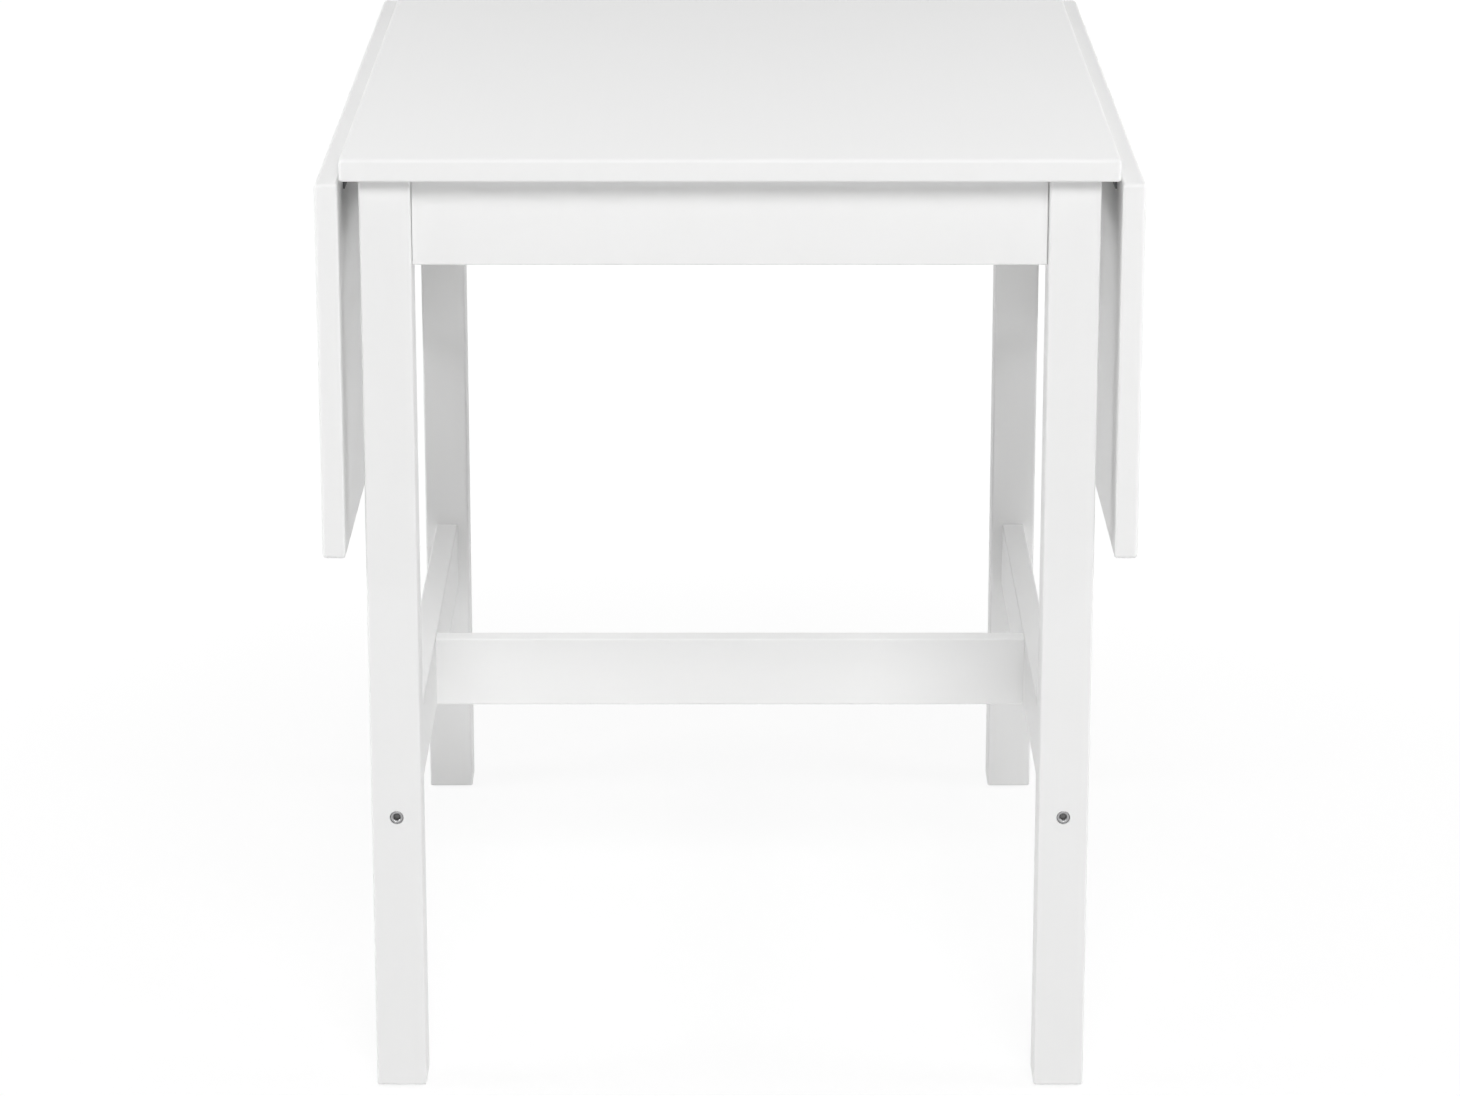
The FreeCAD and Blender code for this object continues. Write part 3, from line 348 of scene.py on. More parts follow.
@dataclass(frozen=True)
class Lacquer(Finish):
    """White satin lacquer, sprayed on board or on wood whose grain shows through faintly.

    Attributes:
        grain: Axis that the grain runs along.
        grain_height: Depth of the grain.
        peel_height: Depth of the spray's fine dimples.
        fibre_density: Fibres to the metre, along the grain and across it.
        band_density: Broad bands to the metre, along the grain and across it.
        tint_weights: Weights of fibre, band and cloud in the colour.
        rough_weights: Weights of cloud, dimples and fibre in the roughness.
    """

    grain: Axis
    light: Colour = (0.862, 0.862, 0.86, 1.0)
    shade: Colour = (0.845, 0.845, 0.842, 1.0)
    roughness: float = 0.46
    ior: float = 1.45
    specular: float = 0.22
    grain_height: float = 0.00003
    peel_height: float = 0.00002
    fibre_density: tuple[float, float] = (2.5, 170.0)
    band_density: tuple[float, float] = (0.8, 14.0)
    peel_density: float = 650.0
    cloud_density: float = 5.0
    tint_weights: tuple[float, float, float] = (0.45, 0.3, 0.25)
    rough_weights: tuple[float, float, float] = (0.1, 0.06, 0.05)

    def cover(self, paint: Paint) -> None:
        """Add the lacquer's nodes.

        Args:
            paint: Paint of the empty material.
        """
        fibre = paint.noise(grained(self.grain, *self.fibre_density), detail=5.0, roughness=0.62)
        band = paint.noise(grained(self.grain, *self.band_density), detail=2.0)
        peel = paint.noise(even(self.peel_density), detail=2.0)
        cloud = paint.noise(even(self.cloud_density), detail=3.0)
        share = weighted(self.tint_weights, fibre, band, cloud)
        depth = self.grain_height + self.peel_height
        height = weighted((self.grain_height / depth, self.peel_height / depth), fibre, peel)
        paint.surface({
            "Base Color": paint.mix(share, self.light, self.shade),
            "Roughness": swing(self.roughness, self.rough_weights, cloud, peel, fibre),
            "Normal": paint.bump(height, depth),
            "IOR": self.ior,
            "Specular IOR Level": self.specular,
        })


@dataclass(frozen=True)
class Steel(Finish):
    """Plated steel, with the streaks of its rolling and small dull patches in the plating.

    Attributes:
        streaks: Streaks to the metre along each axis.
        tint_weights: Weights of patch and streak in the colour.
        rough_weights: Weights of patch, streak and speck in the roughness.
        height_weights: Weights of streak and speck in the surface's height.
    """

    light: Colour
    shade: Colour
    roughness: float
    streaks: Stretch
    streak_height: float = 0.00002
    patch_density: float = 160.0
    speck_density: float = 1400.0
    tint_weights: tuple[float, float] = (0.6, 0.4)
    rough_weights: tuple[float, float, float] = (0.22, 0.14, 0.06)
    height_weights: tuple[float, float] = (0.7, 0.3)

    def cover(self, paint: Paint) -> None:
        """Add the steel's nodes.

        Args:
            paint: Paint of the empty material.
        """
        streak = paint.noise(self.streaks, detail=4.0, roughness=0.65)
        patch = paint.noise(even(self.patch_density), detail=3.0)
        speck = paint.noise(even(self.speck_density), detail=1.0)
        share = weighted(self.tint_weights, patch, streak)
        height = weighted(self.height_weights, streak, speck)
        paint.surface({
            "Base Color": paint.mix(share, self.light, self.shade),
            "Metallic": 1.0,
            "Roughness": swing(self.roughness, self.rough_weights, patch, streak, speck),
            "Normal": paint.bump(height, self.streak_height),
        })


@dataclass(frozen=True)
class BareBeech(Finish):
    """Bare beech of the dowels, with its short dark flecks.

    Attributes:
        fleck_level: Level of the fleck pattern above which a fleck shows.
        fleck_gain: Strength of a fleck above that level.
        tint_weights: Weights of grain and fleck in the colour.
        rough_weights: Weight of the grain in the roughness.
    """

    light: Colour = (0.68, 0.5, 0.31, 1.0)
    shade: Colour = (0.5, 0.33, 0.18, 1.0)
    roughness: float = 0.6
    grain_density: Stretch = (260.0, 260.0, 420.0)
    grain_height: float = 0.00005
    fleck_density: Stretch = (900.0, 900.0, 300.0)
    fleck_level: float = 0.55
    fleck_gain: float = 4.0
    tint_weights: tuple[float, float] = (0.7, 0.5)
    rough_weights: tuple[float] = (0.12,)

    def cover(self, paint: Paint) -> None:
        """Add the beech's nodes.

        Args:
            paint: Paint of the empty material.
        """
        grain = paint.noise(self.grain_density, detail=4.0, roughness=0.6)
        spots = paint.noise(self.fleck_density, detail=2.0)
        fleck = (spots - self.fleck_level).at_least(0.0) * self.fleck_gain
        share = weighted(self.tint_weights, grain, fleck).at_most(1.0)
        paint.surface({
            "Base Color": paint.mix(share, self.light, self.shade),
            "Roughness": swing(self.roughness, self.rough_weights, grain),
            "Normal": paint.bump(grain, self.grain_height),
        })


@dataclass(frozen=True)
class MouldedPlastic(Finish):
    """Pale moulded plastic of the glides, scuffed by the floor.

    Attributes:
        rough_weights: Weights of scuff and texture in the roughness.
        height_weights: Weights of texture and scuff in the surface's height.
    """

    light: Colour = (0.78, 0.78, 0.765, 1.0)
    shade: Colour = (0.66, 0.655, 0.63, 1.0)
    roughness: float = 0.45
    texture_density: float = 1100.0
    texture_height: float = 0.00004
    scuff_density: Stretch = (240.0, 60.0, 240.0)
    scuff_contrast: float = 2.0
    rough_weights: tuple[float, float] = (0.25, 0.05)
    height_weights: tuple[float, float] = (0.5, 0.5)

    def cover(self, paint: Paint) -> None:
        """Add the plastic's nodes.

        Args:
            paint: Paint of the empty material.
        """
        texture = paint.noise(even(self.texture_density), detail=2.0)
        marks = paint.noise(self.scuff_density, detail=4.0, roughness=0.7)
        scuff = marks ** self.scuff_contrast
        height = weighted(self.height_weights, texture, scuff)
        paint.surface({
            "Base Color": paint.mix(scuff, self.light, self.shade),
            "Roughness": self.roughness + weighted(self.rough_weights, scuff, texture),
            "Normal": paint.bump(height, self.texture_height),
        })


BOARD_LACQUER = Lacquer(
    "white lacquer on board", Axis.Y, grain_height=0.00001, peel_height=0.00003
)
LEG_LACQUER = Lacquer("white lacquer on legs", Axis.Z)
CROSS_RAIL_LACQUER = Lacquer("white lacquer on cross rails", Axis.X)
SIDE_RAIL_LACQUER = Lacquer("white lacquer on side rails", Axis.Y)
BOLT_ZINC = Steel(
    "grey zinc on bolts",
    light=(0.46, 0.46, 0.465, 1.0),
    shade=(0.31, 0.31, 0.315, 1.0),
    roughness=0.24,
    streaks=even(300.0),
)
# Near-black steel on the faces inside the key sockets: painted shade of the deep hole.
SOCKET_PAINTED_SHADE = Steel(
    "oil in key sockets",
    light=(0.17, 0.17, 0.17, 1.0),
    shade=(0.09, 0.09, 0.09, 1.0),
    roughness=0.3,
    streaks=even(300.0),
)
PRESSED_ZINC = Steel(
    "zinc on pressed steel",
    light=(0.52, 0.52, 0.525, 1.0),
    shade=(0.37, 0.37, 0.38, 1.0),
    roughness=0.34,
    streaks=(60.0, 40.0, 900.0),
)
# Hinge steel made near-black as painted shade, for the shaded slit between top and leaf where
# the hinges show.
HINGE_PAINTED_SHADE_STEEL = Steel(
    "dark oiled steel",
    light=(0.16, 0.16, 0.165, 1.0),
    shade=(0.09, 0.09, 0.095, 1.0),
    roughness=0.42,
    streaks=(60.0, 900.0, 60.0),
)
SCREW_ZINC = Steel(
    "bright zinc on screws",
    light=(0.66, 0.66, 0.65, 1.0),
    shade=(0.5, 0.5, 0.5, 1.0),
    roughness=0.34,
    streaks=even(500.0),
)
NUT_ZINC = Steel(
    "dull zinc on nuts",
    light=(0.56, 0.56, 0.57, 1.0),
    shade=(0.42, 0.42, 0.43, 1.0),
    roughness=0.42,
    streaks=(400.0, 400.0, 90.0),
)
DOWEL_BEECH = BareBeech("bare beech")
GLIDE_PLASTIC = MouldedPlastic("pale moulded plastic")


class Bench:
    """Modelling steps that the pieces share, each done with Blender's own operators."""

    ROUND_SIDES = 48
    ROUND_PROFILE = 0.5
    EASE_STEPS = 2
    EASE_ANGLE = math.radians(40.0)
    SMOOTH_ANGLE = math.radians(35.0)
    FLAT_WEIGHT = 90
    SAME_WAY = 0.99

    @staticmethod
    def rest() -> None:
        """Leave edit mode and deselect everything."""
        if bpy.context.object and bpy.context.object.mode != "OBJECT":
            bpy.ops.object.mode_set(mode="OBJECT")
        bpy.ops.object.select_all(action="DESELECT")

    @classmethod
    def take(cls, piece: bpy.types.Object) -> None:
        """Make one piece the only selected one, and the active one.

        Args:
            piece: Piece to take.
        """
        cls.rest()
        piece.select_set(True)
        bpy.context.view_layer.objects.active = piece

    @staticmethod
    def settle(name: str) -> bpy.types.Object:
        """Name the new primitive and put its place into its mesh.

        Args:
            name: Name of the piece.

        Returns:
            The new piece.
        """
        piece = bpy.context.object
        piece.name = name
        piece.data.name = name
        bpy.ops.object.transform_apply(location=True, rotation=True, scale=True)
        return piece

    @classmethod
    def block(cls, name: str, low: Vector, high: Vector) -> bpy.types.Object:
        """Block between two corners.

        Args:
            name: Name of the piece.
            low: Lowest corner.
            high: Highest corner.

        Returns:
            The new piece.
        """
        cls.rest()
        bpy.ops.mesh.primitive_cube_add(size=1.0, location=(low + high) / 2, scale=high - low)
        return cls.settle(name)

    @classmethod
    def bar(
        cls, name: str, radius: float, start: Vector, end: Vector, sides: int = ROUND_SIDES
    ) -> bpy.types.Object:
        """Round or many-sided bar between two points.

        Args:
            name: Name of the piece.
            radius: Radius to its corners.
            start: Middle of one end.
            end: Middle of the other end.
            sides: Number of sides.

        Returns:
            The new piece.
        """
        cls.rest()
        run = end - start
        bpy.ops.mesh.primitive_cylinder_add(
            vertices=sides,
            radius=radius,
            depth=run.length,
            location=(start + end) / 2,
            rotation=run.to_track_quat("Z", "X").to_euler(),
        )
        return cls.settle(name)

    @classmethod
    def clear_picks(cls, piece: bpy.types.Object, kind: str) -> None:
        """Deselect a piece's whole mesh, and leave edit mode.

        Args:
            piece: Piece to work on.
            kind: Mesh elements to select next, EDGE or FACE.
        """
        cls.take(piece)
        bpy.ops.object.mode_set(mode="EDIT")
        bpy.ops.mesh.select_mode(type=kind)
        bpy.ops.mesh.select_all(action="DESELECT")
        bpy.ops.object.mode_set(mode="OBJECT")

    @classmethod
    def pick_edges(cls, piece: bpy.types.Object, test: EdgeTest) -> None:
        """Enter edit mode with only the edges selected that pass a test.

        Args:
            piece: Piece to work on.
            test: Picks the edges by their two ends.
        """
        cls.clear_picks(piece, "EDGE")
        points = piece.data.vertices
        for edge in piece.data.edges:
            edge.select = test(*(points[index].co for index in edge.vertices))
        bpy.ops.object.mode_set(mode="EDIT")

    @classmethod
    def pick_face(cls, piece: bpy.types.Object, point: Vector, facing: Vector) -> None:
        """Enter edit mode with one face selected, of those that face one way.

        Args:
            piece: Piece to work on.
            point: Point that the face lies nearest to.
            facing: Way that it faces.
        """
        cls.clear_picks(piece, "FACE")
        faces = [
            face for face in piece.data.polygons if face.normal.dot(facing) > cls.SAME_WAY
        ]
        nearest = min(faces, key=lambda face: (face.center - point).length)
        nearest.select = True
        bpy.ops.object.mode_set(mode="EDIT")

    @classmethod
    def round_over(
        cls, piece: bpy.types.Object, radius: float, steps: int, test: EdgeTest
    ) -> None:
        """Round the edges that pass a test.

        Args:
            piece: Piece to work on.
            radius: Radius of the rounding.
            steps: Faces across the rounding.
            test: Picks the edges by their two ends.
        """
        cls.pick_edges(piece, test)
        bpy.ops.mesh.bevel(
            offset=radius, segments=steps, profile=cls.ROUND_PROFILE, affect="EDGES"
        )
        cls.rest()

    @classmethod
    def carve(cls, piece: bpy.types.Object, cutter: bpy.types.Object) -> None:
        """Take a cutter's volume out of a piece, and remove the cutter.

        Args:
            piece: Piece to work on.
            cutter: Volume to take out.
        """
        cls.take(piece)
        modifier = piece.modifiers.new("carve", "BOOLEAN")
        modifier.object = cutter
        modifier.operation = "DIFFERENCE"
        modifier.solver = "EXACT"
        bpy.ops.object.modifier_apply(modifier=modifier.name)
        bpy.data.objects.remove(cutter, do_unlink=True)

    @classmethod
    def ease(cls, piece: bpy.types.Object, width: float) -> None:
        """Take the sharpness off every edge of a piece.

        Args:
            piece: Piece to work on.
            width: Width that the easing takes from each face.
        """
        cls.take(piece)
        modifier = piece.modifiers.new("ease", "BEVEL")
        modifier.width = width
        modifier.segments = cls.EASE_STEPS
        modifier.limit_method = "ANGLE"
        modifier.angle_limit = cls.EASE_ANGLE
        bpy.ops.object.modifier_apply(modifier=modifier.name)

    @classmethod
    def smooth(cls, piece: bpy.types.Object) -> None:
        """Shade the rounded edges smoothly and keep the flats flat.

        Args:
            piece: Piece to work on.
        """
        cls.take(piece)
        bpy.ops.object.shade_smooth_by_angle(angle=cls.SMOOTH_ANGLE)
        modifier = piece.modifiers.new("flats", "WEIGHTED_NORMAL")
        modifier.keep_sharp = True
        modifier.weight = cls.FLAT_WEIGHT
        bpy.ops.object.modifier_apply(modifier=modifier.name)

    @classmethod
    def copy(cls, piece: bpy.types.Object, name: str) -> bpy.types.Object:
        """Copy a piece, with a mesh of its own.

        Args:
            piece: Piece to copy.
            name: Name of the copy.

        Returns:
            The copy, selected and active.
        """
        cls.take(piece)
        bpy.ops.object.duplicate(linked=False)
        made = bpy.context.object
        made.name = name
        made.data.name = name
        return made

    @classmethod
    def join(cls, pieces: list[bpy.types.Object]) -> bpy.types.Object:
        """Make several pieces one.

        Args:
            pieces: Pieces to join.

        Returns:
            The first piece, with the others in its mesh.
        """
        cls.take(pieces[0])
        for piece in pieces[1:]:
            piece.select_set(True)
        bpy.ops.object.join()
        return pieces[0]


def hand_over(piece: bpy.types.Object, node: str, slot: str, *finishes: Finish) -> None:
    """Dress a finished piece and let it stand for a CAD node.

    Args:
        piece: Finished piece, with its place in its mesh.
        node: CAD node that it stands for and whose body it rides.
        slot: Record's material slot; not used.
        finishes: Its finishes, in the order that its faces number them.
    """
    Bench.rest()
    for finish in finishes:
        piece.data.materials.append(finish.material())
    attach(piece, frame["nodes"][node]["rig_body"])
    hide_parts(node)
    LOG.info("piece %s stands for %s", piece.name, node)


@dataclass
class Board:
    """Wooden piece cut to a CAD node's box, with its edges rounded over."""

    node: str
    grain: Axis
    radius: float
    edges: Edges
    steps: int = 5

    def picks(self, low: Vector, high: Vector) -> EdgeTest:
        """Test for the edges to round.

        Args:
            low: Lowest corner of the block.
            high: Highest corner of the block.

        Returns:
            The test, on an edge's two ends.
        """
        axis = self.grain.value
        half = (high[axis] - low[axis]) / 2
        middle = (low.z + high.z) / 2

        def test(first: Vector, second: Vector) -> bool:
            """Whether an edge is rounded.

            Args:
                first: One end of the edge.
                second: Its other end.

            Returns:
                Whether it is one of the chosen edges.
            """
            lengthwise = abs(first[axis] - second[axis]) > half
            lower = max(first.z, second.z) < middle
            upper = min(first.z, second.z) > middle
            return {
                Edges.LENGTHWISE: lengthwise,
                Edges.LOWER_LENGTHWISE: lengthwise and lower,
                Edges.BELOW_TOP: not upper,
            }[self.edges]

        return test

    def build(self) -> bpy.types.Object:
        """Model the board with its rounded edges.

        Returns:
            The board.
        """
        low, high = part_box(self.node)
        piece = Bench.block(f"{self.node}_wood", low, high)
        Bench.round_over(piece, self.radius, self.steps, self.picks(low, high))
        return piece


@dataclass
class TopAndLeaves:
    """Fixed top and the two leaves, with rebates for the hinge knuckles."""

    show_round: float = 0.0035
    under_round: float = 0.002
    steps: int = 6
    same_place: float = 0.0001
    knuckle_reach: float = 0.0035
    rebate_room: float = 0.0005
    slot: str = "white_board"

    def rebate(self, end: End, side: Side, in_leaf: bool) -> bpy.types.Object:
        """Cutter for one hinge's knuckles.

        Args:
            end: End of the table that the hinge is at.
            side: Side of the table that the hinge is on.
            in_leaf: Whether the cutter is for the leaf or for the top.

        Returns:
            The cutter.
        """
        leaf = f"{side.name.lower()}_leaf"
        hinge = next(joint for joint in frame["joints"] if joint["child"] == leaf)
        axis = Vector(hinge["pos_m"])
        wing_low, wing_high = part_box(f"{corner_name(end, side)}_hinge_top_wing")
        reach = self.knuckle_reach
        across = sorted((axis.x, axis.x - side.value * reach))
        upright = (axis.z - 2 * reach, axis.z + reach)
        if in_leaf:
            across = sorted((axis.x - side.value * reach, axis.x + side.value * reach))
            upright = (axis.z - reach, axis.z + reach)
        low = Vector((across[0], wing_low.y - self.rebate_room, upright[0]))
        high = Vector((across[1], wing_high.y + self.rebate_room, upright[1]))
        return Bench.block("rebate", low, high)

    def blank(self, node: str, across: Axis, under: float) -> bpy.types.Object:
        """Board cut to its node's box, rounded more on its show edges than under them.

        Args:
            node: CAD node of the board.
            across: Axis through the board's thickness.
            under: Place of its under face along that axis.

        Returns:
            The board.
        """

        def on_under(*ends: Vector) -> bool:
            """Whether an edge lies on the under face."""
            return all(abs(end[across.value] - under) < self.same_place for end in ends)

        def on_show(*ends: Vector) -> bool:
            """Whether an edge lies off the under face."""
            return not on_under(*ends)

        piece = Bench.block(f"{node}_wood", *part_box(node))
        Bench.round_over(piece, self.show_round, self.steps, on_show)
        Bench.round_over(piece, self.under_round, self.steps, on_under)
        return piece

    def build(self) -> None:
        """Model and dress the three boards."""
        top = self.blank("table_top", Axis.Z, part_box("table_top")[0].z)
        for end, side in CORNERS:
            Bench.carve(top, self.rebate(end, side, False))
        Bench.smooth(top)
        hand_over(top, "table_top", self.slot, BOARD_LACQUER)
        for side in Side:
            node = f"{side.name.lower()}_leaf"
            low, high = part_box(node)
            leaf = self.blank(node, Axis.X, high.x if side is Side.LEFT else low.x)
            for end in End:
                Bench.carve(leaf, self.rebate(end, side, True))
            Bench.smooth(leaf)
            hand_over(leaf, node, self.slot, BOARD_LACQUER)


@dataclass(frozen=True)
class BoltSeat:
    """Place of a sunk bolt.

    Attributes:
        mouth: Middle of its hole, on the face that it is let into.
        drive: Direction that it is driven in.
    """

    HEAD_RADIUS: ClassVar[float] = 0.0052
    HEAD_HEIGHT: ClassVar[float] = 0.006
    SINK: ClassVar[float] = 0.0006

    mouth: Vector
    drive: Vector

    @classmethod
    def in_leg(cls, end: End, side: Side) -> "BoltSeat":
        """Seat in a leg's end face, for the bolt into the side stretcher.

        Args:
            end: End of the table that the leg is at.
            side: Side of the table that the leg is on.

        Returns:
            The seat.
        """
        low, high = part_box(f"{corner_name(end, side)}_leg")
        rail_low, rail_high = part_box(f"{side.name.lower()}_stretcher")
        face = low.y if end is End.FRONT else high.y
        mouth = Vector(((low.x + high.x) / 2, face, (rail_low.z + rail_high.z) / 2))
        return cls(mouth, Vector((0.0, -end.value, 0.0)))

    @classmethod
    def in_stretcher(cls, side: Side) -> "BoltSeat":
        """Seat in a side stretcher's outer face, for the bolt into the cross stretcher.

        Args:
            side: Side of the table that the stretcher is on.

        Returns:
            The seat.
        """
        low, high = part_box(f"{side.name.lower()}_stretcher")
        face = low.x if side is Side.LEFT else high.x
        mouth = Vector((face, (low.y + high.y) / 2, (low.z + high.z) / 2))
        return cls(mouth, Vector((-side.value, 0.0, 0.0)))

    @property
    def turn(self) -> float:
        """Turn about Z from a bolt that is driven along +Y."""
        return math.atan2(-self.drive.x, self.drive.y)


@dataclass
class LegFrame:
    """Legs, aprons and stretchers.

    Attributes:
        groove_widths: Widths of the tight and the wide shadow gap of an apron.
        barrel_from_end: Barrel nut's hole from the end of its stretcher.
        barrel_above_middle: Its end above the middle of the stretcher.
    """

    leg_round: float = 0.002
    rail_round: float = 0.0015
    joint_ease: float = 0.00015
    groove_widths: tuple[float, float] = (0.0004, 0.0008)
    groove_depth: float = 0.004
    head_room: float = 0.0003
    barrel_radius: float = 0.0051
    barrel_from_end: float = 0.025
    barrel_above_middle: float = 0.008
    slot: str = "white_wood"

    def counterbore(self, seat: BoltSeat) -> bpy.types.Object:
        """Cutter for a sunk bolt head.

        Args:
            seat: Seat of the bolt.

        Returns:
            The cutter.
        """
        inward = seat.drive * (seat.HEAD_HEIGHT + seat.SINK)
        radius = seat.HEAD_RADIUS + self.head_room
        return Bench.bar("counterbore", radius, seat.mouth - inward, seat.mouth + inward)

    def joint_grooves(self, node: str, along: Axis) -> list[bpy.types.Object]:
        """Cutters for the shadow gaps at the two ends of an apron's outer face.

        Args:
            node: CAD node of the apron.
            along: Axis that the apron runs along.

        Returns:
            The two cutters.
        """
        low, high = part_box(node)
        across = Axis.Y if along is Axis.X else Axis.X
        outer_low = low[across.value] + high[across.value] < 0.0
        tight, wide = self.groove_widths
        cutters = []
        for start, width in ((low[along.value], tight), (high[along.value] - wide, wide)):
            first, last = low.copy(), high.copy()
            first[along.value], last[along.value] = start, start + width
            if outer_low:
                first[across.value] -= self.groove_depth
                last[across.value] = low[across.value] + self.groove_depth
            else:
                first[across.value] = high[across.value] - self.groove_depth
                last[across.value] += self.groove_depth
            first.z -= self.groove_depth
            last.z += self.groove_depth
            cutters.append(Bench.block("groove", first, last))
        return cutters

    def barrel_holes(self, node: str, along: Axis) -> list[bpy.types.Object]:
        """Cutters for the barrel nuts near both ends of a stretcher, open at its lower edge.

        Args:
            node: CAD node of the stretcher.
            along: Axis that the stretcher runs along.

        Returns:
            The two cutters.
        """
        low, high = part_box(node)
        inset = self.barrel_from_end
        cutters = []
        for place in (low[along.value] + inset, high[along.value] - inset):
            tip = (low + high) / 2
            tip[along.value] = place
            mouth = tip.copy()
            mouth.z = low.z - self.barrel_radius
            tip.z += self.barrel_above_middle
            cutters.append(Bench.bar("barrel_hole", self.barrel_radius, mouth, tip))
        return cutters

    def build(self) -> None:
        """Model and dress every leg and rail."""
        for end, side in CORNERS:
            node = f"{corner_name(end, side)}_leg"
            leg = Board(node, Axis.Z, self.leg_round, Edges.BELOW_TOP).build()
            Bench.carve(leg, self.counterbore(BoltSeat.in_leg(end, side)))
            Bench.smooth(leg)
            hand_over(leg, node, self.slot, LEG_LACQUER)
        sides = {f"{side.name.lower()}_stretcher": side for side in Side}
        rails = [
            ("front_apron", Axis.X, Edges.LOWER_LENGTHWISE, CROSS_RAIL_LACQUER),
            ("rear_apron", Axis.X, Edges.LOWER_LENGTHWISE, CROSS_RAIL_LACQUER),
            ("left_apron", Axis.Y, Edges.LOWER_LENGTHWISE, SIDE_RAIL_LACQUER),
            ("right_apron", Axis.Y, Edges.LOWER_LENGTHWISE, SIDE_RAIL_LACQUER),
            ("left_stretcher", Axis.Y, Edges.LENGTHWISE, SIDE_RAIL_LACQUER),
            ("right_stretcher", Axis.Y, Edges.LENGTHWISE, SIDE_RAIL_LACQUER),
            ("cross_stretcher", Axis.X, Edges.LENGTHWISE, CROSS_RAIL_LACQUER),
        ]
        for node, grain, edges, finish in rails:
            rail = Board(node, grain, self.rail_round, edges).build()
            is_apron = node.endswith("_apron")
            cutters_for = self.joint_grooves if is_apron else self.barrel_holes
            for cutter in cutters_for(node, grain):
                Bench.carve(rail, cutter)
            if node in sides:
                Bench.carve(rail, self.counterbore(BoltSeat.in_stretcher(sides[node])))
            Bench.ease(rail, self.joint_ease)
            Bench.smooth(rail)
            hand_over(rail, node, self.slot, finish)


